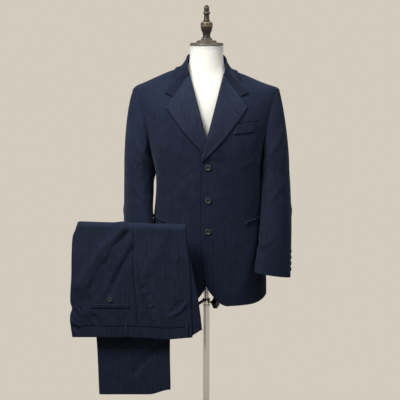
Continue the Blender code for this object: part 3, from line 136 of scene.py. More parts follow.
# station, seam x y z, fold x y z, edge x y z
COLLAR = table(
    (0, 0, 69, 1542.5, 0, 66.5, 1579, 0, 88, 1529), (1, 25, 65.5, 1542.5, 24, 63, 1578.5, 36, 85, 1527),
    (2, 47, 52, 1542, 44.5, 50, 1576, 69, 68, 1522), (3, 62, 31, 1541.5, 58, 30, 1571, 88, 40, 1519),
    (4, 67, 8, 1540, 62, 8, 1564, 96, 6, 1518), (5, 66.5, -14, 1537, 63.6, -16, 1555, 105, -27, 1503),
    (6, 65, -33, 1530, 63.6, -40, 1542, 114.5, -53, 1487),
    (7, 62, -48, 1519, 61, -56, 1527, 124, -69, 1470.5),
    (8, 56, -57, 1505, 54.5, -63.5, 1507.5, 134, -80, 1454.5), plain=(0,))
# course, seat_edge, side_seam, front_edge, second_edge
TROUSER = table(
    (0, -430.8, -220.5, -45.5, -13), (0.104, -435, -221.5, -47.5, -16.5), (0.2, -435.5, -223, -48.5, -20.5),
    (0.265, -429.5, -224, -49, -23.5), (0.33, -434.2, -225, -50, -26.2), (0.55, -429, -232, -53, -40),
    (0.78, -426, -235, -60, -56), (0.92, -421.5, -231, -65, -63), (1, -411, -230, -68, -66.5),
    (1.5, -406, -232, -68, -66.5), (2, -400, -233, -73, -71), (2.35, -374, -235, -101, -99),
    (2.65, -357, -237, -120, -118), (3, -351, -236, -120, -118), plain=(0,))
# Folds: soft ridges (or troughs, with a negative rise) between two places.
# Each row is x0, z0, x1, z1, half_width, rise. The first rows of each table are the solids' own.
BODY_FOLDS = table(
    (150, 1300, 175, 1060, 20, 3), (60, 1190, 130, 1080, 16, 2), (160, 1000, 110, 800, 24, 3.5),
    (-155, 1290, -165, 1060, 20, 3), (-50, 1180, -120, 1090, 16, 2), (-150, 1000, -120, 800, 24, 3.5))
BODY_CREASES = table(
    (30, 1225, 78, 1196, 8, 1.1), (28, 1118, 85, 1140, 9, 1), (-35, 1222, -80, 1190, 8, 1.2),
    (-30, 1115, -82, 1138, 9, 1), (90, 980, 70, 800, 16, 1.6), (135, 960, 150, 790, 14, -1.4),
    (165, 1245, 115, 1215, 10, 1.4), (-160, 1240, -118, 1205, 10, 1.4), (172, 1330, 160, 1255, 10, -1.6),
    (-172, 1330, -160, 1255, 10, -1.6), (-85, 980, -70, 800, 16, 1.6))
BACK_CREASES = table(
    (120, 1320, 85, 1180, 18, 3), (-125, 1315, -80, 1185, 18, 2.6), (60, 1150, 120, 1105, 13, 2),
    (-55, 1160, -125, 1110, 13, 1.8), (150, 1390, 170, 1300, 14, 2.6), (-150, 1395, -172, 1295, 14, 2.8),
    (70, 1000, 100, 800, 20, 2.6), (-60, 990, -95, 800, 20, 3), (20, 1470, 90, 1452, 10, 1.2),
    (-30, 1468, -95, 1455, 10, 1.2))
TROUSER_FRONT_FOLDS = table(
    (-250, 1035, -390, 850, 26, 6), (-120, 1030, -190, 900, 20, 3), (-425, 740, -375, 770, 18, 3),
    (-110, 790, -60, 770, 18, -2.2), (-345, 930, -310, 860, 20, -2.2))
TROUSER_BACK_FOLDS = table(
    (-140, 660, -240, 555, 14, 3.5), (-330, 950, -260, 700, 22, 3))
TROUSER_FRONT_CREASES = table(
    (-257.3, 1044.5, -324.4, 980.2, 12, 4.3), (-324.4, 980.2, -376.4, 908.9, 12.8, 4),
    (-376.4, 908.9, -418.9, 850.1, 12, 3.2), (-241.7, 1034.9, -289.8, 973.7, 11.2, -4.9),
    (-289.8, 973.7, -328.7, 915.4, 11.2, -4.9), (-328.7, 915.4, -371.3, 843.5, 10.5, -4),
    (-239, 996.3, -271.4, 938.1, 10.5, 3.5), (-271.4, 938.1, -304, 879.5, 10.5, 3.2),
    (-304, 879.5, -323.8, 833.7, 9, 2.4), (-239.5, 960.8, -275.1, 902.4, 9.7, -2.8),
    (-275.1, 902.4, -307.9, 830.4, 9, -2.8), (-81.6, 928.4, -70.8, 853.4, 11.2, -3.6),
    (-70.8, 853.4, -78.9, 800.8, 9.7, -4.1), (-78.9, 800.8, -110.9, 767.8, 8.3, -3.1),
    (-66.1, 794.2, -85.4, 767.8, 6, 4.1), (-85.4, 767.8, -117.4, 752.9, 6, 2.9),
    (-57.7, 999.5, -56.6, 804.1, 5.4, 1.2), (-430.1, 777.7, -398.8, 746.3, 3.3, -3.4),
    (-420.4, 784.3, -392.2, 756.2, 3.7, 2.6), (-401.3, 777.7, -373.5, 731.3, 3.7, -3.6),
    (-390.2, 777.7, -365.6, 729.7, 4, 3.4), (-385, 794.2, -357, 757.9, 4.3, 2.3),
    (-360.2, 757.9, -335.3, 724.7, 3.7, -2.8), (-372.6, 781, -344.7, 731.3, 4, -1.5),
    (-431, 738, -402.6, 718, 4.7, 2.8), (-431.3, 723, -409.3, 704.7, 4, -2.3),
    (-302.9, 747.9, -280.1, 774.4, 4.8, -0.9), (-287.1, 734.7, -261, 767.8, 4.8, 0.7),
    (-209, 853.4, -193, 866.5, 3.8, 1.2), (-205.9, 843.5, -189.9, 855, 3.4, -1.1),
    (-199.8, 827.1, -183.8, 833.7, 3.8, 1.4), (-193.5, 814, -180.7, 822.2, 3.4, -1.1),
    (-184.2, 782.7, -168.2, 789.3, 3.8, 1.5), (-181.1, 772.7, -165.1, 779.4, 3.1, -1.2),
    (-178.3, 734.7, -162.2, 744.6, 4.1, 1.4), (-209.9, 771.1, -194, 767.8, 3.8, 1.1),
    (-224.4, 895.8, -211.9, 882.8, 4.1, 1.1), (-179.1, 999.5, -155.4, 804.1, 9.6, 0.8),
    (-134.9, 1012.4, -117.1, 804.1, 10.2, -0.9), (-97, 1025.3, -91.1, 928.4, 7.8, 0.9),
    (-229.2, 1044, -234.8, 967, 3.2, -1.4), (-234.8, 967, -234, 902, 3, -1.6),
    (-234, 902, -225.4, 817, 3, -1.6), (-225.4, 817, -221.7, 725, 3.2, -1.4))
TROUSER_BACK_CREASES = table(
    (-137, 644, -226, 548, 2.4, -1.1), (-143, 650, -232, 554, 8, 0.8), (-330, 660, -290, 600, 10, 1.4),
    (-130, 900, -200, 800, 12, 1.8), (-360, 880, -310, 760, 12, 1.8), (-300, 560, -340, 500, 10, 1.2))
SLEEVE = {
    1: table(
        (CUFF / MM, 218, -104, 66.5, 33, 60), (900, 221, -90, 66, 38.5, 54), (950, 227, -73, 68, 41.5, 42),
        (1000, 230.8, -55, 70, 44.6, 31), (1050, 232.8, -39, 71, 45.8, 22), (1100, 233, -25, 73, 46.2, 14),
        (1150, 231.3, -13, 75, 46.8, 8), (BICEP / MM, 228.8, -5, 76, 46.2, 4), plain=(5,)),
    -1: table(
        (CUFF / MM, 216.5, -104, 65, 32, 60), (900, 219.5, -90, 65.5, 36.5, 54),
        (950, 224, -73, 68, 38.5, 42), (1000, 225.7, -55, 70, 40.5, 31), (1050, 226.4, -39, 71, 43.6, 22),
        (1100, 226.8, -25, 73, 45.5, 14), (1150, 225.4, -13, 75, 47.8, 8),
        (BICEP / MM, 224, -5, 76, 48.8, 4), plain=(5,)),
}
# by millimetres round the sleeve from its front fold and height, so that creases keep their true width
SLEEVE_CREASES = {
    1: table(
        (12, 1300, -20, 1235, 7.5, 2.4), (-6, 1262, -12, 960, 8.5, 2.2), (-14, 1178, -34, 1162, 4.5, -2.2),
        (30, 1250, 4, 1190, 8, -1.6), (-6, 1150, -30, 1115, 6.5, 1.4), (-10, 1010, -34, 988, 5.5, 1.6),
        (-12, 960, -36, 938, 4.5, -2.2), (-8, 972, -30, 950, 5, 2), (6, 935, -26, 910, 6, 1.6),
        (60, 1120, 90, 1040, 11, 1.6), (-60, 1090, -100, 1050, 12, 2.2), (-70, 1040, -110, 1010, 11, 1.8),
        (120, 1000, 150, 940, 12, 1.8)),
    -1: table(
        (10, 1290, -22, 1230, 8, 2.2), (-4, 1240, -10, 1000, 9, 2), (-10, 1245, -36, 1225, 5, -1.8),
        (-8, 1190, -34, 1168, 6, 1.4), (20, 1175, -4, 1140, 6, 1.2), (28, 1110, 0, 1078, 7, 1.4),
        (-10, 1000, -32, 980, 5.5, 1.6), (-6, 950, -30, 930, 5, -1.8), (-60, 1095, -105, 1060, 12, 2.2),
        (-70, 1050, -112, 1020, 11, 1.8), (118, 1010, 150, 945, 12, 1.8), (60, 1130, 88, 1050, 11, 1.4)),
}
SEAT_EDGE, SIDE_SEAM, FRONT_CREASE, SECOND_CREASE = 1, 2, 3, 4
# by half turns from the sleeve's outer side (forwards) and height
SLEEVE_FOLDS = np.array((
    (0.20, 1.330, 0.75, 1.215, 0.016, 0.0035), (0.10, 1.190, 0.60, 1.100, 0.014, 0.0030),
    (0.55, 1.010, 0.95, 0.960, 0.010, 0.0030), (0.30, 0.980, 0.90, 0.925, 0.009, 0.0025),
    (-0.60, 1.120, -0.15, 1.060, 0.016, 0.0030),
))

# ---------------------------------------------------------------- reading tables


def hermite(t, first, last, leave, arrive):
    """A smooth curve between two values, with its slopes at both."""
    return ((1 + 2 * t) * (1 - t) ** 2 * first + t * (1 - t) ** 2 * leave
            + t * t * (3 - 2 * t) * last + t * t * (t - 1) * arrive)


def curve(keys, values, where):
    """Values at places between keys, on a smooth curve along their first axis."""
    deep = (1,) * (values.ndim - 1)
    wide = keys.reshape(-1, *deep)
    slopes = np.empty_like(values)
    slopes[1:-1] = (values[2:] - values[:-2]) / (wide[2:] - wide[:-2])
    slopes[[0, -1]] = (values[[1, -1]] - values[[0, -2]]) / (wide[[1, -1]] - wide[[0, -2]])
    where = np.asarray(where, float)
    i = np.clip(np.searchsorted(keys, where, side="right") - 1, 0, len(keys) - 2)
    span = (keys[i + 1] - keys[i]).reshape(where.shape + deep)
    t = np.clip((where - keys[i]).reshape(span.shape) / span, 0.0, 1.0)
    return hermite(t, values[i], values[i + 1], span * slopes[i], span * slopes[i + 1])


def read(rows, column, where):
    return curve(rows[:, 0], rows[:, column], where)


def smooth_lines(points, count):
    """Points on smooth lines through control points: (..., controls, n) to (..., count, n)."""
    points = np.asarray(points, float)
    chord = np.linalg.norm(np.diff(points, axis=-2), axis=-1)
    mean = chord.reshape(-1, chord.shape[-1]).mean(axis=0)
    keys = np.concatenate(((0.0,), np.cumsum(np.maximum(mean, 1e-6))))
    shares = np.linspace(0.0, 1.0, count) if np.isscalar(count) else count
    return np.moveaxis(curve(keys, np.moveaxis(points, -2, 0), shares * keys[-1]), 0, -2)


def step(low, high, value):
    """0 below low, 1 above high, and a soft change between."""
    t = np.clip((np.asarray(value, float) - low) / (high - low), 0.0, 1.0)
    return t * t * (3.0 - 2.0 * t)


def hump(value, half_width):
    """1 at zero, fading out softly on both sides."""
    return np.exp(-(value / half_width) ** 2)


def mix(first, second, share):
    return first + (second - first) * share


def folds(rows, x, z):
    """Height of all the folds of a table; a row that starts where the last one ended carries it on."""
    total = np.zeros(np.broadcast(x, z).shape)
    chain, end = total, None
    for x0, z0, x1, z1, half_width, rise in rows:
        length = math.hypot(x1 - x0, z1 - z0)
        along = ((x - x0) * (x1 - x0) + (z - z0) * (z1 - z0)) / length
        aside = ((x - x0) * (z1 - z0) - (z - z0) * (x1 - x0)) / length
        past = np.maximum(np.maximum(-along, along - length), 0.0)
        value = rise * hump(aside, half_width) * hump(past, half_width)
        if end == (x0, z0):
            chain = np.where(np.abs(value) > np.abs(chain), value, chain)
        else:
            total, chain = total + chain, value
        end = (x1, z1)
    return total + chain


def unit(vectors):
    return vectors / np.maximum(np.linalg.norm(vectors, axis=-1, keepdims=True), 1e-12)


def spaced(low, high, pitch, edge=0.0007):
    """Places from low to high, with extra ones close to both ends for their rounded edges."""
    count = max(int(round((high - low) / pitch)), 2)
    places = np.linspace(low, high, count + 1)
    near = np.array((0.2, 0.55, 1.0)) * edge
    inner = places[(places > low + 1.6 * edge) & (places < high - 1.6 * edge)]
    return np.concatenate(((low,), low + near, inner, high - near[::-1], (high,)))


# ---------------------------------------------------------------- the jacket's body surface

LEVEL_LOW, LEVEL_STEP = 0.740, 0.001
LEVELS = np.arange(LEVEL_LOW, 1.5605, LEVEL_STEP)
RING = 801
PROBE = 0.004


def section(rows, height, left):
    """Half width, front, back, side and roundness of a ringed surface, per place."""
    values = [read(rows, column, height) for column in range(1, 6)]
    if rows is BODY:
        values[0] = values[0] + np.where(left, read(LEFT_EXTRA, 1, height), 0.0)
    return values


def oval(rows, heights, angle, left=False):
    """Across and ahead of a ringed surface's sections, at angles from straight ahead."""
    width, front, back, side, roundness = (v[:, None] for v in section(rows, heights, left))
    sine, ahead = np.sin(angle), np.cos(angle)
    depth = np.where(ahead > 0.0, side - front, back - side)
    return (np.copysign(width * np.abs(sine) ** (2.0 / roundness), sine),
            side - np.copysign(depth * np.abs(ahead) ** (2.0 / roundness), ahead))


def ring_tables(left):
    """The body's half rings at every level: x and y at even shares, and the widest point's share."""
    x, y = oval(BODY, LEVELS, np.linspace(0.0, math.pi, 1201), left)
    x[:, -1] = 0.0
    run = np.pad(np.cumsum(np.hypot(np.diff(x), np.diff(y)), axis=1), ((0, 0), (1, 0)))
    run /= run[:, -1:]
    even = np.linspace(0.0, 1.0, RING)
    across, ahead = (np.array([np.interp(even, *row) for row in zip(run, v)]) for v in (x, y))
    return across, ahead, run[:, 600]


RING_X, RING_Y, RING_SIDE = (np.stack(pair) for pair in zip(ring_tables(False), ring_tables(True)))


def bare_body(around, height):
    """Points of the body's surface. "around" is 0 at the centre front and 1 or -1 at the centre back."""
    around, height = np.broadcast_arrays(np.asarray(around, float), np.asarray(height, float))
    around = np.where(around > 1.0, around - 2.0, np.where(around < -1.0, around + 2.0, around))
    level = np.clip((height - LEVEL_LOW) / LEVEL_STEP, 0.0, len(LEVELS) - 1.001)
    share = np.clip(np.abs(around) * (RING - 1), 0.0, RING - 1.001)
    i, j = level.astype(int), share.astype(int)
    f, g = level - i, share - j
    left = (around > 0.0).astype(int)

    def pick(values):
        return mix(mix(values[left, i, j], values[left, i + 1, j], f),
                   mix(values[left, i, j + 1], values[left, i + 1, j + 1], f), g)

    return np.stack((pick(RING_X) * np.sign(around), pick(RING_Y), height), -1)


def body_normal(around, height):
    across = bare_body(around + PROBE, height) - bare_body(around - PROBE, height)
    up = bare_body(around, height + PROBE) - bare_body(around, height - PROBE)
    return unit(np.cross(across, up))


def relief(points, fine=True):
    """Rise of the body's folds and creases, fading out towards the sides."""
    x, y, z = np.moveaxis(points, -1, 0)
    front = folds(BODY_FOLDS, x, z) + fine * folds(BODY_CREASES, x, z)
    return front * step(0.0, 0.050, -y) + fine * folds(BACK_CREASES, x, z) * step(0.015, 0.055, y)


def on_body(around, height, out=0.0, fine=True):
    points = bare_body(around, height)
    return points + body_normal(around, height) * (out + relief(points, fine))[..., None]


def side_of(height):
    """Place around of the ring's widest point, where the shoulder seam runs."""
    return np.interp(height, LEVELS, RING_SIDE[0])


def around_at(x, height, at_back=False):
    """Place around a ring where it is x from the middle, on its front or back half."""
    x, height = np.broadcast_arrays(np.asarray(x, float), np.asarray(height, float))
    side = side_of(height)
    low, high = (side, np.ones_like(side)) if at_back else (np.zeros_like(side), side)
    for _ in range(24):
        middle = (low + high) / 2.0
        reach = np.abs(bare_body(np.copysign(middle, x), height)[..., 0])
        further = (reach > np.abs(x)) if at_back else (reach < np.abs(x))
        low, high = np.where(further, middle, low), np.where(further, high, middle)
    return np.copysign((low + high) / 2.0, x)


def clear_of(rows, points, gap, left=False):
    """Move points out until they stand off a ringed surface by a gap."""
    small = 0.0005

    def scaled(p):
        width, front, back, side, roundness = section(rows, p[..., 2], left)
        depth = np.where(p[..., 1] < side, side - front, back - side)
        return ((np.abs(p[..., 0]) / width) ** roundness
                + (np.abs(p[..., 1] - side) / depth) ** roundness) ** (1.0 / roundness)

    for _ in range(4):
        here = scaled(points)
        way = np.stack([(scaled(points + axis * small) - here) / small for axis in np.eye(3)], -1)
        length = np.linalg.norm(way, axis=-1)
        move = np.maximum(gap - (here - 1.0) / length, 0.0) / length
        points = points + way * move[..., None]
    return points


# ---------------------------------------------------------------- materials


class Look:
    """A Principled material, with short ways to add nodes to it."""

    def __init__(self, name, colour, roughness, metallic=0.0, **sockets):
        self.made = bpy.data.materials.new(name)
        self.made.use_nodes = True
        self.made.diffuse_color = (*colour, 1.0)
        self.tree = self.made.node_tree
        self.shader = self.tree.nodes["Principled BSDF"]
        self.set(Base_Color=(*colour, 1.0), Roughness=roughness, Metallic=metallic, **sockets)

    def feed(self, node, key, value):
        """Link a socket to a node's input, or set a plain value there."""
        if isinstance(value, bpy.types.NodeSocket):
            self.tree.links.new(value, node.inputs[key])
        else:
            node.inputs[key].default_value = value

    def set(self, **sockets):
        for key, value in sockets.items():
            self.feed(self.shader, key.replace("_", " "), value)

    def node(self, kind, inputs=None, output=0, **settings):
        """Add a node, set its properties, fill its inputs, and give one of its outputs."""
        made = self.tree.nodes.new("ShaderNode" + kind)
        for name, value in settings.items():
            setattr(made, name, value)
        for key, value in (inputs or {}).items():
            self.feed(made, key, value)
        return made.outputs[output]

    def solid(self):
        return self.node("TexCoord", output="Object")

    def place(self):
        return self.node("UVMap", uv_map="UVMap")

    def part(self, vector, axis):
        return self.node("SeparateXYZ", {0: vector}, axis)

    def maths(self, operation, *values):
        return self.node("Math", dict(enumerate(values)), operation=operation)

    def ranged(self, value, low, high, out_low=0.0, out_high=1.0):
        return self.node("MapRange", {0: value, 1: low, 2: high, 3: out_low, 4: out_high})

    def noise(self, vector, scale, detail, roughness=0.5):
        inputs = {"Vector": vector, "Scale": scale, "Detail": detail, "Roughness": roughness}
        return self.node("TexNoise", inputs)

    def mix(self, factor, first, second):
        """Mix two colours, each a socket or plain numbers."""
        pair = [v if isinstance(v, bpy.types.NodeSocket) else (*v, 1.0) for v in (first, second)]
        return self.node("Mix", {0: factor, 6: pair[0], 7: pair[1]}, 2, data_type="RGBA")

    def bump(self, strength, distance, height, **normal):
        inputs = {"Strength": strength, "Distance": distance, "Height": height, **normal}
        return self.node("Bump", inputs)


def wool(name, dark, light, stripe, sheen):
    """Worsted twill: a faint self-stripe along the grain, a fine diagonal rib and soft mottling."""
    look = Look(name, dark, 0.82, Sheen_Weight=sheen, Sheen_Roughness=0.5, Specular_IOR_Level=0.05,
                Sheen_Tint=(0.55, 0.68, 1.0, 1.0))
    place, solid = look.place(), look.solid()
    # the self-stripe: two hair lines every 14 mm
    run = look.maths("PINGPONG", look.maths("MULTIPLY", look.part(place, 0), 1.0 / 0.014), 0.5)
    line = look.maths("SUBTRACT", 1.0, look.ranged(run, 0.03, 0.12))
    second = look.maths("MULTIPLY", look.ranged(run, 0.30, 0.50), 0.4 * stripe)
    band = look.maths("ADD", look.maths("MULTIPLY", line, stripe), second)
    mottle = look.noise(look.node("Mapping", {0: solid, 3: (1.0, 1.0, 0.35)}), 130.0, 4.0, 0.6)
    # threads: streaks along the grain
    thread = look.noise(look.node("Mapping", {0: place, 3: (2600.0, 160.0, 1.0)}), 1.0, 2.0)
    level = look.maths("MULTIPLY_ADD", mottle, 1.10, -0.62)
    level = look.maths("MULTIPLY_ADD", look.noise(solid, 9.0, 2.0), 0.50, level)
    level = look.maths("ADD", look.maths("MULTIPLY_ADD", thread, 0.40, level), band)
    slant = look.node("Mapping", {0: place, 2: (0.0, 0.0, math.radians(58.0))})
    rib = look.node("TexWave", {"Vector": slant, "Scale": 500.0, "Distortion": 0.4, "Detail": 1.0}, 1)
    weave = look.bump(0.35, 0.00012, rib)
    soft = look.bump(0.35, 0.0030, look.noise(solid, 14.0, 3.0, 0.55), Normal=weave)
    look.set(Base_Color=look.mix(level, dark, light), Normal=soft,
             Roughness=look.maths("MULTIPLY_ADD", thread, 0.16, 0.74))
    return look.made


def uneven(name, colour, second, scale, roughness, spread, metallic=0.0, bump=0.0, stretch=None, **sockets):
    """A surface whose colour, roughness and height vary with a noise, which may be drawn out in lines."""
    look = Look(name, colour, roughness, metallic, **sockets)
    solid = look.solid()
    if stretch:
        solid = look.node("Mapping", {0: solid, 3: stretch})
    noise = look.noise(solid, scale, 4.0 if stretch else 5.0, 0.65 if stretch else 0.6)
    rough = look.maths("MULTIPLY_ADD", noise, spread, roughness - spread / 2.0)
    look.set(Base_Color=look.mix(noise, colour, second), Roughness=rough)
    if bump:
        look.set(Normal=look.bump(0.15 if stretch else 0.5, bump, noise))
    return look.made


def brushed(name, colour, second, roughness, metallic, stretch):
    """Metal with fine lines along or round it."""
    return uneven(name, colour, second, 1.0, roughness, 0.14, metallic, 0.0001, stretch)


def linen(name, dark, light):
    """Cream cloth of the form: a plain weave and soft unevenness."""
    look = Look(name, dark, 0.85, Sheen_Weight=0.15, Subsurface_Weight=0.8, Subsurface_Scale=0.05,
                Subsurface_Radius=(1.0, 0.95, 0.85))
    waves = {"Vector": look.place(), "Scale": 420.0}
    warp, weft = (look.node("TexWave", waves, 1, bands_direction=way) for way in "XY")
    look.set(Base_Color=look.mix(look.noise(look.solid(), 16.0, 3.0), dark, light),
             Normal=look.bump(0.25, 0.00015, look.maths("MULTIPLY", warp, weft)))
    return look.made


def bronze(name, dark, light):
    """Dark patina, worn to lighter metal on raised edges, with two gold-brown turned bands."""
    look = Look(name, dark, 0.42, 0.75)
    solid = look.solid()
    noise = look.noise(solid, 90.0, 6.0, 0.7)
    worn = look.ranged(look.node("NewGeometry", output="Pointiness"), 0.515, 0.58)
    worn = look.maths("MULTIPLY", worn, look.ranged(noise, 0.35, 0.62))
    base = look.mix(look.ranged(noise, 0.62, 0.74), dark, light)
    height, gold = look.part(solid, 2), 0.0
    for level in GOLD_BANDS:
        near = look.maths("ABSOLUTE", look.maths("SUBTRACT", height, level))
        gold = look.maths("MAXIMUM", look.ranged(near, 0.0034, 0.0014), gold)
    base = look.mix(look.maths("MULTIPLY", gold, 0.75), base, (0.24, 0.165, 0.085))
    base = look.mix(look.maths("MULTIPLY", worn, 0.8), base, (0.42, 0.36, 0.30))
    look.set(Base_Color=base, Roughness=look.ranged(noise, 0.3, 0.7, 0.30, 0.58),
             Normal=look.bump(0.35, 0.0006, noise))
    return look.made


GOLD_BANDS = (1.6770, 1.6665)
WOOL = wool("navy_wool", (0.0080, 0.0112, 0.0250), (0.0235, 0.0310, 0.0600), 0.26, 0.10)
# the suit's own wool in a slightly lighter copy: painted light on the trousers
TROUSER_WOOL = wool("trouser_wool", (0.0095, 0.0135, 0.0285), (0.0275, 0.0360, 0.0670), 0.26, 0.10)
# the suit's own wool in a lighter copy: painted light on the lapels, the hip pockets' lips and the belt loops
PAINTED_LIT_WOOL = wool("navy_lapel", (0.0120, 0.0162, 0.0330), (0.0310, 0.0390, 0.0700), 0.28, 0.12)
# the suit's own wool in a darker copy: painted shade on the collar
PAINTED_SHADE_WOOL = wool("navy_collar", (0.0066, 0.0093, 0.0198), (0.0166, 0.0220, 0.0415), 0.22, 0.10)
HOLE_THREAD = uneven("hole_thread", (0.007, 0.009, 0.016), (0.014, 0.017, 0.028), 900.0, 0.8, 0.2,
                     Specular_IOR_Level=0.05)
HORN = uneven("button_horn", (0.018, 0.021, 0.026), (0.055, 0.060, 0.068), 160.0, 0.42, 0.15,
              Specular_IOR_Level=0.35)
# near-black painted shade: the dark lines under edges, in seams and slits, and in pocket openings
SHADE = uneven("pocket_shade", (0.0015, 0.0018, 0.0030), (0.0030, 0.0035, 0.0055), 900.0, 0.9, 0.1,
               Specular_IOR_Level=0.0)
LINEN = linen("form_linen", (0.84, 0.825, 0.75), (0.90, 0.885, 0.83))
BRONZE = bronze("dark_bronze", (0.036, 0.032, 0.029), (0.112, 0.096, 0.080))
CAP_BRONZE = bronze("cap_bronze", (0.105, 0.093, 0.080), (0.230, 0.200, 0.165))
CHROME = brushed("chrome", (0.54, 0.53, 0.51), (0.68, 0.67, 0.65), 0.20, 1.0, (300.0, 300.0, 6.0))
SATIN = brushed("satin_steel", (0.62, 0.60, 0.57), (0.74, 0.72, 0.69), 0.34, 1.0, (500.0, 500.0, 8.0))
BLACK = uneven("black_steel", (0.012, 0.012, 0.013), (0.026, 0.026, 0.028), 220.0, 0.42, 0.16, 0.2, 0.0002)
KNOB = uneven("black_plastic", (0.004, 0.004, 0.0045), (0.011, 0.011, 0.012), 700.0, 0.50, 0.2, 0.0, 0.0001,
              Specular_IOR_Level=0.15)
BASE = brushed("base_steel", (0.50, 0.49, 0.47), (0.62, 0.61, 0.59), 0.36, 0.9, (40.0, 900.0, 40.0))


# ---------------------------------------------------------------- mesh helpers

FINISHES = ("cloth", "horn", "linen", "bronze", "steel", "chrome", "satin", "plastic")


def finished(made, body="suit"):
    """Hide the solid that a piece replaces, if its name says so, and attach the piece to what it moves with.

    The name of a piece that replaces a solid is the solid's name and what it is made of.
    """
    node, _, stuff = made.name.rpartition("_")
    if stuff in FINISHES:
        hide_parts(node)
    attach(made, body)
    return made


def add_mesh(name, points, faces, material, uvs, sharp=None):
    """A smooth mesh object from points, faces and UVs per point, sharp at edges above an angle."""
    mesh = bpy.data.meshes.new(name)
    mesh.from_pydata(points.reshape(-1, 3).tolist(), [], faces)
    mesh.validate()
    index = np.empty(len(mesh.loops), np.int32)
    mesh.loops.foreach_get("vertex_index", index)
    layer = mesh.uv_layers.new(name="UVMap")
    layer.data.foreach_set("uv", uvs.reshape(-1, 2).astype(np.float32)[index].ravel())
    mesh.shade_smooth()
    if sharp:
        mesh.set_sharp_from_angle(angle=math.radians(sharp))
    mesh.materials.append(material)
    made = bpy.data.objects.new(name, mesh)
    bpy.context.scene.collection.objects.link(made)
    return made


def quads(index):
    """Faces of four on a grid of point numbers."""
    return np.stack((index[:-1, :-1], index[:-1, 1:], index[1:, 1:], index[1:, :-1]), -1).reshape(-1, 4)


def ring_mesh(name, rings, material, uvs=None, sharp=None, closed=True, way=1):
    """A mesh round rings of points, capped at both ends, or with its last ring joined to its first."""
    count, sides = rings.shape[:2]
    index = np.arange(count * sides).reshape(count, sides)
    wrap = np.concatenate((index, index[:, :1]), 1)
    faces = quads(wrap)[:, ::way].tolist()
    ends = [index[0, ::-way], index[-1, ::way]] if closed else quads(wrap[[-1, 0]])
    faces += [end.tolist() for end in ends]
    return add_mesh(name, rings, faces, material, np.zeros((count, sides, 2)) if uvs is None else uvs, sharp)


def run_along(points, axis):
    """Length run so far along one direction of a grid."""
    steps = np.linalg.norm(np.diff(points, axis=axis), axis=-1)
    zero = np.zeros_like(np.take(steps, [0], axis=axis))
    return np.concatenate((zero, np.cumsum(steps, axis=axis)), axis=axis)


def settle(points):
    """Let the shoulders sink beside the neck, and the wearer's left one a little along its whole length."""
    x, across, height = points[..., 0], np.abs(points[..., 0]), points[..., 2]
    both = 0.0016 * step(0.062, 0.080, across) * (1.0 - step(0.105, 0.125, across))
    left = 0.0100 * step(0.045, 0.080, x)
    drop = (both + left) * step(1.445, 1.500, height)
    return points - drop[..., None] * (0.0, 0.0, 1.0)


NARROW = 0.0105        # below this a strip is declared with the sheet that it is sewn on
LEAST_SHARE = 0.301    # of its width times its length that a sheet's area may be
SHEETS, SEWN_ON = [], {}


def cloth(name, middle, normals, material, uvs, held, rests_on, wall=CLOTH, radius=0.0007):
    """Closed cloth from the grid of its middle surface, thinning to rounded edges at its border.

    It is noted as a sheet, or, where it is a narrow strip, as sewn on what it rests on.
    """
    middle = settle(middle)
    rows, columns = middle.shape[:2]
    down, across = run_along(middle, 0), run_along(middle, 1)
    edge = np.minimum(np.minimum(down, down[-1:] - down), np.minimum(across, across[:, -1:] - across))
    near = np.clip(edge / radius, 0.0, 1.0)
    half = normals * (wall / 2.0 * np.sqrt(np.maximum(1.0 - (1.0 - near) ** 2, 0.0)))[..., None]
    top = np.arange(rows * columns).reshape(rows, columns)
    low = top.copy()
    low[1:-1, 1:-1] = rows * columns + np.arange((rows - 2) * (columns - 2)).reshape(rows - 2, columns - 2)
    outer, inner = middle + half, middle - half
    points, flat = (np.concatenate((whole.reshape(-1, size), cut[1:-1, 1:-1].reshape(-1, size)))
                    for whole, cut, size in ((outer, inner, 3), (uvs, uvs, 2)))
    right, under = middle[:-1, 1:] - middle[:-1, :-1], middle[1:, :-1] - middle[:-1, :-1]
    i, j = rows // 2, columns // 2
    way = 1 if np.dot(np.cross(right[i, j], under[i, j]), normals[i, j]) > 0.0 else -1
    faces = np.concatenate((quads(top)[:, ::way], quads(low)[:, ::-way])).tolist()
    made = finished(add_mesh(name, points, faces, material, flat))
    size = (float(across[:, -1].max()), float(down[-1].max()))
    if min(size) > NARROW:
        area = float(np.linalg.norm(np.cross(right, under), axis=-1).sum())
        area = min(max(area, LEAST_SHARE * size[0] * size[1]), size[0] * size[1])
        SHEETS.append((made, size, area, held, rests_on))
    else:
        SEWN_ON.setdefault(rests_on, []).append(made)


def grid_normal(points, row, column, out):
    """Directions square to a grid of points, on the side that faces out at one of them."""
    normals = unit(np.cross(np.gradient(points, axis=1), np.gradient(points, axis=0)))
    return normals if np.dot(normals[row, column], out) > 0.0 else -normals


def square_to(axis):
    """Two directions square to an axis and to each other."""
    helper = (0.0, 0.0, 1.0) if abs(axis[2]) < 0.9 else (1.0, 0.0, 0.0)
    first = unit(np.cross(axis, helper))
    return first, np.cross(axis, first)


def turns_of(sides):
    return 2.0 * math.pi * np.arange(sides) / sides


UP = (0.0, 0.0, 1.0)


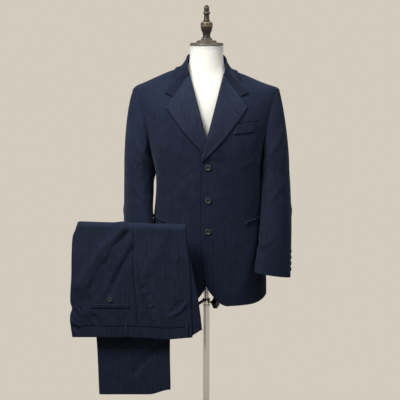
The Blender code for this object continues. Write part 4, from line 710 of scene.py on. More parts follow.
def turned(name, profile, origin, material, sides=64, axis=UP, lobes=0, closed=True, sharp=38.0,
           body="suit"):
    """A turned piece from (distance, radius) rows in millimetres, with lobes on its widest rings."""
    profile = table(*profile)
    origin = (0.0, 0.0, origin) if np.isscalar(origin) else origin
    first, second = square_to(axis)
    angle = turns_of(sides)
    widest = profile[:, 1].max()
    deep = LOBE_DEPTH * step(0.6, 0.8, profile[:, 1] / widest)
    reach = profile[:, 1, None] * (1.0 - deep[:, None] * (0.5 - 0.5 * np.cos(lobes * angle)))
    way = np.cos(angle)[:, None] * first + np.sin(angle)[:, None] * second
    points = np.asarray(origin) + np.asarray(axis) * profile[:, 0, None, None] + way * reach[..., None]
    run = np.concatenate(((0.0,), np.cumsum(np.linalg.norm(np.diff(profile, axis=0), axis=1))))
    uvs = np.stack(np.broadcast_arrays(angle * widest, run[:, None]), -1)
    finished(ring_mesh(name, points, material, uvs, sharp, closed), body)


def tube(name, route, radius, sides, material, sharp=None):
    """A round rod along a route."""
    ahead = unit(np.gradient(route, axis=0))
    first = np.zeros_like(route)
    first[0] = unit(np.cross(ahead[0], (0.31, 0.77, 0.55)))
    for k in range(1, len(route)):
        first[k] = unit(first[k - 1] - ahead[k] * np.dot(first[k - 1], ahead[k]))
    second = np.cross(ahead, first)
    angle = turns_of(sides)[None, :, None]
    ring = first[:, None] * np.cos(angle) + second[:, None] * np.sin(angle)
    return ring_mesh(name, route[:, None] + ring * radius, material, sharp=sharp)


# ---------------------------------------------------------------- jacket panels

SEAM_SHARE = 0.0002     # half a seam's gap, as a share of half a ring
GIRTH = 0.52            # half a ring's length on the cut, for the cloth's grain
PANEL_TOP = 1.5395


def hem_height(around, height):
    share = step(0.27, 0.52, np.abs(around)) * (1.0 - step(HEM, 1.02, height))
    return height + HEM_RISE * share


def roll_across(height):
    share = (height - LAPEL_BREAK[1]) / (LAPEL_ROLL_TOP[1] - LAPEL_BREAK[1])
    return mix(LAPEL_BREAK[0], LAPEL_ROLL_TOP[0], share)


def front_edge_across(height):
    above = mix(roll_across(height) + 0.0012, NECK_EDGE, step(1.495, NECK_TOP, height))
    return np.where(height > LAPEL_BREAK[1], above, read(FRONT_EDGE, 1, height))


def front_out(x, height, side=1):
    """How far a front stands off the body: the wearer's left one laps over the right one."""
    lap = LAP * (1.0 - step(0.030, 0.080, x))
    near_lapel = step(1.230, 1.258, height) * (1.0 - step(1.310, 1.370, height))
    return (lap + LAPEL_LAP * near_lapel * (1.0 - step(0.020, 0.070, x))) * (side > 0)


def armhole_around(height, at_back, side):
    seam = BACK_SIDE_SEAM if at_back else FRONT_SIDE_SEAM
    middle = (FRONT_SIDE_SEAM + BACK_SIDE_SEAM) / 2.0
    under = mix(middle, seam, np.sqrt(np.clip((height - ARMPIT) / (ARMHOLE_SIDE - ARMPIT), 0.0, 1.0)))
    across = read(ARMHOLE, 2 if at_back else 1, height)
    by_table = np.abs(around_at(across * side, height, at_back))
    above = mix(seam, by_table, step(ARMHOLE_SIDE, ARMHOLE_SIDE + 0.020, height))
    return np.where(height < ARMHOLE_SIDE, under, above)


def dart(x, height):
    """The chest dart: a fine groove from under the chest down to the hip pocket."""
    line = mix(0.132, 0.127, (height - 1.045) / 0.215)
    inside = step(1.045, 1.060, height) * (1.0 - step(1.240, 1.262, height))
    return -0.0009 * inside * hump(x - line, 0.0016)


def jacket_panel(part, side, word, around, level, out, shift):
    """A panel of the jacket's body, from its places round and up one half of it."""
    around = np.broadcast_to(around, level.shape)
    middle = on_body(around * side, level, out + CLOTH / 2.0)
    uvs = np.stack((around * GIRTH + shift, level), -1)
    cloth(f"jacket_{part}_{word}_cloth", middle, body_normal(around * side, level), WOOL, uvs, "hung",
          "dress_form")


def jacket_front(side, word):
    heights = spaced(HEM, PANEL_TOP, 0.0040)
    start = around_at(front_edge_across(heights) * side, heights) * side
    end = np.where(heights > ARMHOLE_SIDE, armhole_around(heights, False, side), FRONT_SIDE_SEAM)
    end = np.where(heights >= SHOULDER_TIP - 0.001, side_of(heights), end) - SEAM_SHARE
    around = mix(start[:, None], end[:, None], spaced(0.0, 1.0, 1.0 / 64, 0.0035))
    level = hem_height(around, heights[:, None])
    x = bare_body(around * side, level)[..., 0] * side
    out = front_out(x, heights[:, None], side) + dart(x, level)
    jacket_panel("front", side, word, around, level, out, 0.0)


def jacket_back(side, word):
    heights = spaced(HEM, PANEL_TOP, 0.0042)
    start = np.where(heights > ARMHOLE_SIDE, armhole_around(heights, True, side), BACK_SIDE_SEAM)
    start = np.where(heights >= SHOULDER_TIP - 0.001, side_of(heights), start) + SEAM_SHARE
    around = mix(start[:, None], 1.0 - SEAM_SHARE, spaced(0.0, 1.0, 1.0 / 52, 0.0035))
    jacket_panel("back", side, word, around, hem_height(around, heights[:, None]), 0.0, 0.004)


def jacket_side(side, word):
    rows = spaced(0.0, 1.0, 1.0 / 118, 0.0014)[:, None]
    shares = spaced(0.0, 1.0, 1.0 / 22, 0.008)
    around = mix(FRONT_SIDE_SEAM + SEAM_SHARE, BACK_SIDE_SEAM - SEAM_SHARE, shares)
    crest = (ARMHOLE_SIDE - ARMPIT) * (2.0 * shares - 1.0) ** 2 - 0.0008
    level = hem_height(around, mix(HEM, ARMPIT, rows)) + crest * step(0.90, 1.0, rows)
    jacket_panel("side", side, word, around, level, 0.0, 0.009)


# ---------------------------------------------------------------- lapels and collar

COLLAR_HALF = 8         # stations from the collar's middle to its end
STAND_GAP = 0.0015
FALL_GAP = 0.0010
# down the fall, the places that reach the gorge at its end
GORGE_SHARES = (0.10, 0.36, 0.60, 0.72, 0.76, 0.80)


def lapel_edge_across(height):
    share = np.clip((height - LAPEL_BREAK[1]) / (LAPEL_TIP[1] - LAPEL_BREAK[1]), 0.0, 1.0)
    low = mix(LAPEL_BREAK[0], LAPEL_TIP[0], share) + LAPEL_BELLY * np.sin(math.pi * share) ** 1.2
    tip = mix(LAPEL_TIP[0], NOTCH[0], (height - LAPEL_TIP[1]) / (NOTCH[1] - LAPEL_TIP[1]))
    gorge = mix(NOTCH[0], GORGE_TOP[0], (height - NOTCH[1]) / (GORGE_TOP[1] - NOTCH[1])) - 0.0012
    return np.where(height <= LAPEL_TIP[1], low, np.where(height <= NOTCH[1], tip, gorge))


def lapel(side, word):
    low = 1.2370 if side > 0 else ARMHOLE_SIDE
    heights = np.concatenate((spaced(low, LAPEL_TIP[1], 0.0035)[:-1], np.linspace(LAPEL_TIP[1], NOTCH[1], 13),
                              spaced(NOTCH[1] + 0.0006, 1.5040, 0.0035)[3:]))
    roll = roll_across(heights)
    width = lapel_edge_across(heights) - roll
    scale = np.minimum(1.0, width / 0.012)
    puff = np.ones_like(heights) if side > 0 else step(1.275, 1.345, heights)
    controls = [(roll + across * scale, mix(min(out, LAP), out, puff))
                for across, out in ((-0.0018, -0.0002), (-0.0026, 0.0030), (0.0012, 0.0056))]
    for share in (0.22, 0.45, 0.72, 0.90, 1.0):
        rise = 0.0030 * (1.0 - share) ** 1.5 + 0.0020 * step(0.6, 1.0, share)
        controls.append((roll + width * share, LAP + 0.0004 + rise * puff))
    lines = smooth_lines(np.moveaxis(controls, -1, 0), spaced(0.0, 1.0, 1.0 / 46, 0.012))
    x, out = np.moveaxis(lines, -1, 0)
    height = np.broadcast_to(heights[:, None], x.shape)
    out = out + front_out(np.maximum(x, roll[:, None]), height, side) + CLOTH / 2.0
    around = around_at(x * side, height)
    facing = body_normal(around, height)
    middle = on_body(around, height, out, False)
    normals = grid_normal(middle, len(heights) // 2, -8, facing[len(heights) // 2, -8])
    uvs = np.stack((run_along(middle, 1) - width[:, None], height), -1)
    # the lapels in the copy of the wool painted lighter for the light on them
    cloth(f"lapel_{word}_cloth", middle, normals, PAINTED_LIT_WOOL, uvs, "folded", f"jacket_front_{word}_cloth",
          radius=0.0009)


def collar_end():
    """Where the fall ends: from the roll down the gorge to the notch, then out to the collar's point."""
    top = 1.5050
    roll = roll_across(top)
    heights = np.array([top, top, *mix(1.5030, NOTCH[1], np.array((0.0, 0.38, 0.72, 0.97, 1.0)))])
    across = np.append((roll - 0.0022, roll + 0.0016), lapel_edge_across(heights[2:]) + 0.0006)
    out = np.array((0.0026, 0.0050, *mix(0.0044, LAP + 0.0008, np.linspace(0.0, 1.0, 5))))
    around = around_at(across, heights)
    out = out + front_out(across, heights) + CLOTH / 2.0
    line = bare_body(around, heights) + body_normal(around, heights) * out[:, None]
    tip = COLLAR[-1, 7:10]
    return np.concatenate((line, [mix(line[-1], tip, 0.10), tip]))


def collar():
    last = COLLAR_HALF - 1.0
    half = np.concatenate((np.linspace(0.0, last, 64)[:-1], spaced(last, COLLAR_HALF, 0.04, 0.035)))
    seam, fold, edge = (np.stack([read(COLLAR, k + c, half) for c in range(3)], -1) for k in (1, 4, 7))
    flat = unit((edge - fold) * (1.0, 1.0, 0.0))
    down = np.array((0.0, 0.0, -0.0022))
    inner = [seam, mix(seam, fold, 0.5) - flat * 0.0006, fold - flat * 0.0018 + down]
    outer = [fold, fold + flat * 0.0034 + down] + [mix(fold, edge, share) for share in GORGE_SHARES] + [edge]
    inner = np.stack([clear_of(FORM, p, CLOTH + STAND_GAP) for p in inner], 1)
    outer = np.stack([clear_of(BODY, p, CLOTH + FALL_GAP) for p in outer], 1)
    outer = mix(outer, collar_end(), (np.clip(half - last, 0.0, 1.0) ** 1.3)[:, None, None])
    lines = smooth_lines(np.concatenate((inner, outer), 1), spaced(0.0, 1.0, 1.0 / 52, 0.011))
    middle = np.concatenate((lines[:0:-1] * (-1.0, 1.0, 1.0), lines))
    normals = grid_normal(middle, len(middle) // 2, -6, (0.0, 1.0, 0.0))
    # the solid's grid is one face of its wall: the cloth lies outwards of it, away from the neck
    middle = middle + normals * (CLOTH / 2.0)
    uvs = np.stack((run_along(middle, 0), run_along(middle, 1)), -1)
    # the collar in the copy of the wool painted darker for the shade on it
    cloth("jacket_collar_cloth", middle, normals, PAINTED_SHADE_WOOL, uvs, "folded", "dress_form",
          radius=0.0009)


# ---------------------------------------------------------------- sleeves

SLEEVE_HALF_GIRTH = 0.195
# where the inner side hangs against the body: up from this height, and how far it reaches in
SLEEVE_REST_LOW = {1: 1.000, -1: 1.172}
SLEEVE_REST_TOP = 1.262
SLEEVE_REST_IN = 0.0065
# places round the sleeve, in half turns from its outer side, of its two seams
BACK_SEAM, FRONT_SEAM = (math.acos(2.0 * (height - ARMPIT) / (SHOULDER_TIP - ARMPIT) - 1.0) / math.pi
                         for height in (1.335, 1.300))


def sleeve_ring_point(turn, height, side):
    turn, height = np.broadcast_arrays(np.asarray(turn, float), np.asarray(height, float))
    across, ahead, half_depth, half_width, swing = (read(SLEEVE[side], k, height) for k in range(1, 6))
    swing, angle = np.radians(swing), turn * math.pi
    wide, deep = (half_width + CLOTH) * np.cos(angle), (half_depth + CLOTH) * np.sin(angle)
    return np.stack((across + np.cos(swing) * wide - np.sin(swing) * deep,
                     ahead - np.sin(swing) * wide - np.cos(swing) * deep,
                     height + CUFF_TILT * np.sin(angle) * (1.0 - step(CUFF, 1.02, height))), -1)


def armhole_point(turn, side):
    """Points of the armhole on the panels' outer face, as on the left side."""
    turn = (turn + 1.0) % 2.0 - 1.0
    height = ARMPIT + (SHOULDER_TIP - ARMPIT) * (np.cos(turn * math.pi) + 1.0) / 2.0
    height = np.minimum(height, SHOULDER_TIP - 0.0003)
    around = np.where(turn < 0.0, armhole_around(height, True, side), armhole_around(height, False, side))
    return on_body(around * side, height, CLOTH) * (side, 1.0, 1.0) + (SLEEVE_GAP, 0.0, 0.0)


def sleeve_grid(turns, rows, side):
    """Points of a sleeve's outer face: rows 0 to 1 run down the cap, 1 to 2 from the bicep to the cuff."""
    turn, row = np.broadcast_arrays(turns, rows[:, None])
    free = sleeve_ring_point(turn, mix(BICEP, CUFF, np.clip(row - 1.0, 0.0, 1.0)), side)
    start, end = armhole_point(turns, side), sleeve_ring_point(turns, BICEP, side)
    reach = np.linalg.norm(end - start, axis=-1, keepdims=True)
    top = (0.5 + 0.5 * np.cos(turns * math.pi))[:, None]
    ahead = np.sin(turns * math.pi)[:, None]
    leave = np.concatenate((mix(UNDER_OUT, HEAD_OUT[side], top), -0.30 * ahead, mix(-0.75, -0.42, top)), -1)
    t = np.clip(row, 0.0, 1.0)[..., None]
    cap = hermite(t, start, end, leave * reach, reach * (0.0, 0.0, -0.9))
    points = np.where(row[..., None] < 1.0, cap, free)
    z = points[..., 2]
    away = unit(points - np.stack((read(SLEEVE[side], 1, z), read(SLEEVE[side], 2, z), z), -1))
    turn = (turn + 1.0) % 2.0 - 1.0
    girth = (turn - 0.58) * SLEEVE_HALF_GIRTH
    rise = folds(SLEEVE_FOLDS, turn, z) * np.minimum(1.0, row * 3.0)
    for lap in (-2.0, 0.0, 2.0):
        rise = rise + folds(SLEEVE_CREASES[side], girth + lap * SLEEVE_HALF_GIRTH, z) * step(0.12, 0.4, row)
    # a roped head: the cap's seam allowances lift its first centimetre
    rise = rise + 0.0022 * hump(row - 0.045, 0.035) * step(0.55, 0.95, top[:, 0])
    points = points + away * rise[..., None]
    z = points[..., 2]
    low, high = SLEEVE_REST_LOW[side], SLEEVE_REST_TOP
    inner = np.maximum(-np.cos((turn - 0.06) * math.pi), 0.0) ** 2
    rest = SLEEVE_REST_IN * inner * step(low - 0.02, low + 0.02, z) * (1.0 - step(high - 0.03, high, z))
    points = points - rest[..., None] * (1.0, 0.0, 0.0)
    over_pocket = POCKET_THICKNESS * (1.0 - step(0.020, 0.050, np.abs(z - POCKET_HEIGHT)))
    over_fold = np.maximum(relief(points * (side, 1.0, 1.0), False), 0.0)
    pushed = clear_of(BODY, points, CLOTH + SLEEVE_GAP + over_pocket + over_fold, side > 0)
    return mix(points, pushed, step(0.27, 0.5, row)[..., None])


def sleeve(side, word):
    for part, low, high, columns, shift in (
            ("top", -BACK_SEAM, FRONT_SEAM, 66, 0.003),
            ("under", FRONT_SEAM + 0.0008, 2.0 - BACK_SEAM - 0.0008, 44, 0.008)):
        turns = spaced(low, high, (high - low) / columns, 0.0035)
        rows = np.concatenate((spaced(0.0, 1.0, 1.0 / 58, 0.003)[:-4],
                               spaced(1.0, 2.0, 1.0 / 72, 0.0022)[4:]))
        points, after, before = (sleeve_grid(turns + move, rows, side) for move in (0.0, 0.006, -0.006))
        normals = unit(np.cross(after - before, np.gradient(points, axis=0)))
        middle = points - normals * (CLOTH / 2.0)
        uvs = np.stack(np.broadcast_arrays(turns * 0.17 + shift, middle[..., 2]), -1)
        flip = (side, 1.0, 1.0)
        cloth(f"sleeve_{part}_{word}_cloth", middle * flip, normals * flip, WOOL, uvs, "hung",
              f"jacket_front_{word}_cloth")


# ---------------------------------------------------------------- what lies on the jacket


def thread_line(name, points, radius, material=HOLE_THREAD):
    """A thread along points."""
    finished(tube(name, settle(points), radius, 6, material))


def shade_line(name, points, radius):
    """A thin line of painted shade where one cloth ends over another."""
    thread_line(name, points, radius, SHADE)


def strip_places(corners, columns, rows, ends, sides):
    """Shares along and up a strip, and places between its corners: lower inner, outer, upper inner, outer."""
    lower_in, lower_out, upper_in, upper_out = np.array(corners)
    along, up = spaced(0.0, 1.0, 1.0 / columns, ends), spaced(0.0, 1.0, 1.0 / rows, sides)
    low, high = mix(lower_in, lower_out, along[:, None]), mix(upper_in, upper_out, along[:, None])
    return along, up, np.moveaxis(mix(low, high, up[:, None, None]), -1, 0)


def box_corners(left, right, low, high):
    """Corners of an upright strip: lower left and right, upper left and right."""
    return [(x, z) for z in (low, high) for x in (left, right)]


def piping(along, up, slit):
    """Two piped lips with a slit between, tapering in at both ends."""
    lips = 0.0009 * (hump(up - 0.27, 0.17) + hump(up - 0.73, 0.17)) - 0.0018 * hump(up - 0.5, slit)
    return lips[:, None] * np.minimum(step(0.0, 0.04, along), 1.0 - step(0.96, 1.0, along))


def strip_on_body(name, side, corners, out, wall, grooved, material):
    """A strip on a front, from corners (around, height), with piped lips or sinking in at both ends."""
    along, up, (around, height) = strip_places(corners, 44, 26, 0.012, 0.05)
    if grooved:
        rise = piping(along, up, 0.055)
    else:
        rise = -0.0022 * (1.0 - np.minimum(step(0.0, 0.07, along), 1.0 - step(0.78, 1.0, along)))
    middle = on_body(around * side, height, rise + out + wall / 2.0)
    uvs = np.stack(np.broadcast_arrays(along * 0.14, up[:, None] * 0.02), -1)
    cloth(name, middle, body_normal(around * side, height), material, uvs, "laid",
          f"jacket_front_{'left' if side > 0 else 'right'}_cloth", wall, 0.0006)


# distance and radius of a button's outer half, and of its dish, as shares of its thickness and radius
BUTTON_RIM = ((0.0, 0.70), (0.10, 0.90), (0.40, 1.0), (0.72, 0.985), (0.93, 0.93), (1.0, 0.86), (0.97, 0.80),
              (0.80, 0.73), (0.70, 0.66))
BUTTON_DISH = [(0.64 + 0.04 * share, 0.62 * share) for share in np.linspace(1.0, 0.0, 22)[:-1]]
HOLE_RADIUS, HOLE_SPREAD, HOLE_DEPTH = 0.185, 0.250, 0.62
QUARTERS = (0.25, 0.75, 1.25, 1.75)


def button(name, centre, normal, radius, thickness, twist=0.6):
    """A horn button: a raised rim, a dished middle with four holes, and thread across them."""
    first, second = (-way for way in square_to(normal))
    along, reach = np.array((*BUTTON_RIM, *BUTTON_DISH)).T
    angle = turns_of(48)
    x, y = (reach[:, None] * radius * trace(angle) for trace in (np.cos, np.sin))
    z = np.repeat(along[:, None] * thickness, len(angle), 1)
    holes = [radius * HOLE_SPREAD * np.array((math.cos(a * math.pi + twist), math.sin(a * math.pi + twist)))
             for a in QUARTERS]
    for hole in holes:
        away = np.hypot(x - hole[0], y - hole[1]) / (radius * HOLE_RADIUS)
        z[9:] -= HOLE_DEPTH * thickness * (1.0 - step(0.7, 1.2, away))[9:]

    def lifted(flat_x, flat_y, high):
        return centre + flat_x[..., None] * first + flat_y[..., None] * second + high[..., None] * normal

    finished(ring_mesh(name, lifted(x, y, z), HORN))
    t = np.linspace(0.0, 1.0, 7)
    for k in (0, 1):
        flat = mix(holes[k][:, None], holes[k + 2][:, None], t)
        line = lifted(*flat, thickness * (HOLE_DEPTH + 0.16 * np.sin(t * math.pi)))
        thread_line(f"{name}_thread_{k + 1}", line, radius * 0.09)


def stitched_hole(name, around, height, length, out, tilt=0.0):
    """A worked buttonhole: a slit with a raised thread edge all round it, and a round eye at one end."""
    turn = np.linspace(0.0, 2.0 * math.pi, 61)
    half = length / 2.0
    u = half * np.cos(turn)
    v = 0.0011 * np.sin(turn) * (1.0 + 0.9 * hump(u - half * 0.85, 0.0022))
    along = u * math.cos(tilt) - v * math.sin(tilt)
    up = u * math.sin(tilt) + v * math.cos(tilt)
    thread_line(name, on_body(around + along / GIRTH, height + up, out), 0.00042)


def lapping_edges():
    """Lines of painted shade under the lapels' rolls and edges, the collar's ends and the left front's edge.
    """
    for side, word in SIDES:
        low, beside, radius = (1.2450, 0.0006, 0.0010) if side > 0 else (ARMHOLE_SIDE + 0.004, 0.0012, 0.0015)
        edge = np.linspace(low, LAPEL_TIP[1] - 0.0010, 60)
        roll = np.linspace(1.262, 1.502, 60)
        for name, heights, x, stand, thick in (
                ("lapel_edge_line", edge, lapel_edge_across(edge) + beside, CLOTH + 0.0003, radius),
                ("lapel_roll_line", roll, roll_across(roll) - 0.0030, CLOTH / 2.0 + 0.0008, 0.0011)):
            out = front_out(x, heights, side) + stand
            shade_line(f"{name}_{word}", on_body(around_at(x * side, heights), heights, out, False), thick)
        end = smooth_lines(collar_end()[4:], 40) * (side, 1.0, 1.0)
        shade_line(f"collar_end_line_{word}", end - (0.0, -0.0006, 0.0014), 0.0008)
    heights = np.linspace(0.800, 1.226, 90)
    x = front_edge_across(heights) - 0.0005
    shade_line("front_edge_line", on_body(around_at(x, heights), heights, CLOTH + 0.0004), 0.0007)


def body_seams():
    """A cord of painted shade along each seam of the jacket's body, inside the wall, closing the seam's gap.
    """
    seams = [("centre_back_seam", 1.0, 1.5380)]
    for side, word in SIDES:
        seams += [(f"front_side_seam_{word}", side * FRONT_SIDE_SEAM, ARMHOLE_SIDE - 0.003),
                  (f"back_side_seam_{word}", side * BACK_SIDE_SEAM, ARMHOLE_SIDE - 0.003)]
    for name, around, top in seams:
        heights = hem_height(around, np.linspace(HEM + 0.0003, top, 110))
        shade_line(name, on_body(around, heights, CLOTH / 2.0), 0.0007)


ON_FRONT = CLOTH + 0.0014


def pockets():
    corners = [(float(around_at(x, z)), z) for x, z in
               ((0.0820, 1.3230), (0.1590, 1.3310), (0.0975, 1.3560), (0.1620, 1.3635))]
    strip_on_body("chest_welt_cloth", 1, corners, ON_FRONT, 0.0016, False, WOOL)
    # a line of painted shade along the chest welt's opening
    across, height = np.linspace((0.0990, 1.3572), (0.1640, 1.3655), 40).T
    shade_line("chest_welt_line", on_body(around_at(across, height), height, CLOTH + 0.0006), 0.0008)
    for side, word in SIDES:
        start = abs(float(around_at(0.1210 * side, 1.030)))
        corners = ((start, 1.0265), (POCKET_END, 1.0400), (start, 1.0370), (POCKET_END, 1.0505))
        # the piped lips in the copy of the wool painted lighter for the light on them
        strip_on_body(f"hip_pocket_{word}_cloth", side, corners, ON_FRONT + 0.0006, 0.0014, True, PAINTED_LIT_WOOL)
        # a dark strip of painted shade in each hip pocket's opening
        along = np.array((start + 0.010, POCKET_END - 0.004))
        height = mix(1.0322, 1.0450, (along - start) / (POCKET_END - start))
        corners = [(a, h + up) for up in (-0.0019, 0.0019) for a, h in zip(along, height)]
        strip_on_body(f"hip_pocket_opening_{word}", side, corners, ON_FRONT + 0.0022, 0.0010, False, SHADE)


def buttons():
    for number, height in enumerate((1.2190, 1.1115, 1.0100), 1):
        around = around_at(0.004, height)
        centre = on_body(around, height, front_out(0.004, height) + CLOTH + 0.0006)
        button(f"front_button_{number}_horn", centre, body_normal(around, height), 0.0095, 0.0038, 0.0)
        stitched_hole(f"buttonhole_{number}", around - 0.006 / GIRTH, height, 0.020,
                      front_out(0.0, height) + CLOTH)
    stitched_hole("lapel_buttonhole", around_at(0.0975, 1.3905), 1.3905, 0.019, LAP + CLOTH * 2.0 + 0.0006,
                  math.radians(-38.0))
    for side, word in SIDES:
        flip = np.array((side, 1.0, 1.0))
        for number in range(4):
            height = CUFF + 0.024 + 0.0165 * number
            point, ahead, above = (sleeve_ring_point(turn, height + up, side)
                                   for turn, up in ((-0.40, 0.0), (-0.38, 0.0), (-0.40, 0.01)))
            normal = unit(np.cross(above - point, ahead - point))
            normal = normal * math.copysign(1.0, normal[0])
            button(f"cuff_button_{word}_{number + 1}_horn", (point + normal * 0.0002) * flip, normal * flip,
                   0.0072, 0.0022)


# ---------------------------------------------------------------- trousers

BAR_RADIUS_IN = ROD_RADIUS + 0.0007
MIDDLE_OUT = LINE + LAYER_GAP + HIDDEN_LAYERS / 2.0
# per leg: outwards or inwards, the stand of its flat inner face, its waist's rise, its front crease
LEGS = {"left": (1.0, LINE + HIDDEN_LAYERS + 2.0 * LAYER_GAP, 0.0, FRONT_CREASE),
        "right": (-1.0, LINE, SECOND_WAIST_STEP, SECOND_CREASE)}
# how the cloth rounds a crease: the distance to its edge, and the share of the way to the other side's cloth
ROUNDING = ((0.0045, 0.12), (0.0012, 0.45), (0.0, 1.0))


def bar_height(x):
    return BAR_HEIGHT - BAR_DROP * (x - BAR_ENDS[0])


def course_of(height, x=-0.22):
    """Course in front, from 0 at the waist's edge to 1 at the bar."""
    return (height - WAIST_EDGE) / (bar_height(x) - WAIST_EDGE)


def drape(x, course, out, fine=True, lift=0.0):
    """Points of the hanging trousers: course 0 to 1 up in front, to 2 over the bar, to 3 down behind."""
    x, course, out, lift = (np.asarray(a, float) for a in np.broadcast_arrays(x, course, out, lift))
    top = bar_height(x)
    out = out + 0.0040 * (1.0 - step(0.70, 0.97, course)) + 0.0030 * step(2.03, 2.30, course)
    waist = WAIST_EDGE - 0.0070 * hump(x + 0.125, 0.060) + lift
    hem = TROUSER_HEM + TROUSER_HEM_RISE * step(-0.190, -0.120, x)
    front_z = mix(waist, top, np.clip(course, 0.0, 1.0))
    back_z = mix(top, hem, np.clip(course - 2.0, 0.0, 1.0))
    near = folds(TROUSER_FRONT_FOLDS, x, front_z) + fine * folds(TROUSER_FRONT_CREASES, x, front_z)
    far = folds(TROUSER_BACK_FOLDS, x, back_z) + fine * folds(TROUSER_BACK_CREASES, x, back_z)
    over = np.clip(course - 1.0, 0.0, 1.0)
    reach = BAR_RADIUS_IN + out + mix(near, far, over)
    y = BAR_Y - reach * np.cos(math.pi * over)
    z = np.where(course <= 1.0, front_z, np.where(course <= 2.0, top + reach * np.sin(math.pi * over), back_z))
    return np.stack((x, y, z), -1)


def edge_at(column, course):
    return read(TROUSER, column, course)


def course_rows(low, high, fine=False):
    """Courses at even spacing on the cloth, closer over the bar."""
    knots = np.array((0.0, 0.90, 1.0, 2.0, 2.08, 3.0))
    pitches = (0.0060 if fine else 0.0095, 0.0060, 0.055, 0.0050, 0.0075)
    rows = [low, low + 0.0004, low + 0.0011, low + 0.0020]
    place = low + 0.006
    while place < high - 0.005:
        rows.append(place)
        place += pitches[min(np.searchsorted(knots, place, side="right") - 1, 4)]
    return np.array((*rows, high - 0.0022, high - 0.0012, high - 0.0004, high))


def waist_lift(leg, x):
    """How much higher the right leg's waist hangs towards its front, behind the left leg."""
    return 0.0 if leg == "left" else 0.26 * np.clip(x + 0.036, -0.012, 0.030)


def at(across, out):
    """Places down a leg, from how far across and how far out they are."""
    return np.stack(np.broadcast_arrays(across, out), -1)


def leg_levels(leg):
    """Stand of a leg's middle surface where it is flat and at its creases."""
    sign, flat_out = LEGS[leg][:2]
    return flat_out + sign * LINE / 2.0, MIDDLE_OUT + sign * 0.0012


def hang(name, leg, places, courses, shares, rise, shift, rests_on):
    """Cloth of a leg through lines of places across it, with a rise on top, as a sheet."""
    sign = LEGS[leg][0]
    lines = smooth_lines(np.stack(places, 1), shares)
    x, out = np.moveaxis(lines, -1, 0)
    middle = drape(x, courses[:, None], out + sign * rise(x), lift=waist_lift(leg, x))
    normals = grid_normal(middle, 8, len(shares) // 2, (0.0, -sign, 0.0))
    uvs = np.stack((x + shift, run_along(middle, 0)), -1)
    cloth(name, middle, normals, TROUSER_WOOL, uvs, "folded", rests_on, LINE)


def seat_edge(leg, courses):
    return edge_at(SEAT_EDGE, courses) + (0.0 if leg == "left" else 0.0016)


def leg_panel(leg, part, first_course):
    courses = course_rows(first_course, 3.0, leg == "left")
    seam = edge_at(SIDE_SEAM, courses)
    if part == "front":
        inward, crease = -1.0, edge_at(LEGS[leg][3], courses)
    else:
        inward, crease = 1.0, seat_edge(leg, courses)
    level, middle_out = leg_levels(leg)
    places = [at(mix(seam - inward * 0.0001, crease + inward * 0.012, share), level)
              for share in (0.0, 0.33, 0.66, 1.0)]
    places += [at(crease + inward * (reach - LINE * 0.3 * share), mix(level, middle_out, share))
               for reach, share in ROUNDING]
    columns = 76 if leg == "left" else 44
    shares = np.concatenate((spaced(0.0, 0.93, 0.93 / columns, 0.0035)[:-4], np.linspace(0.93, 1.0, 14)))
    # a sewn side seam: a soft groove beside the seam line
    hang(f"trouser_{leg}_{part}_cloth", leg, places, courses, shares,
         lambda x: -0.0005 * hump(x - seam[:, None], 0.0018), 0.0, "trouser_arm")


def waistband(leg):
    step_up = LEGS[leg][2]
    low, high = course_of(WAIST_EDGE + step_up), course_of(WAIST_EDGE + WAISTBAND + step_up) - 0.0006
    courses = np.concatenate(((low, low + 0.0004, low + 0.0011, low + 0.0022),
                              np.linspace(low + 0.005, high - 0.005, 14),
                              (high - 0.0022, high - 0.0011, high - 0.0004, high)))
    level, middle_out = leg_levels(leg)
    left, right = seat_edge(leg, courses), edge_at(LEGS[leg][3], courses)
    rounded = [(reach, mix(level, middle_out, share)) for reach, share in ROUNDING]
    places = [at(left + reach, out) for reach, out in rounded[::-1]]
    places += [at(mix(left + 0.012, right - 0.012, k / 8.0), level) for k in range(9)]
    places += [at(right - reach, out) for reach, out in rounded]
    shares = np.concatenate((np.linspace(0.0, 0.04, 12)[:-1], np.linspace(0.04, 0.96, 90),
                             np.linspace(0.96, 1.0, 12)[1:]))
    puff = 0.0006 * np.sin((courses - low) / (high - low) * math.pi)[:, None]
    hang(f"waistband_{leg}_cloth", leg, places, courses, shares, lambda x: puff, 0.003,
         "trouser_hidden_layers_cloth")


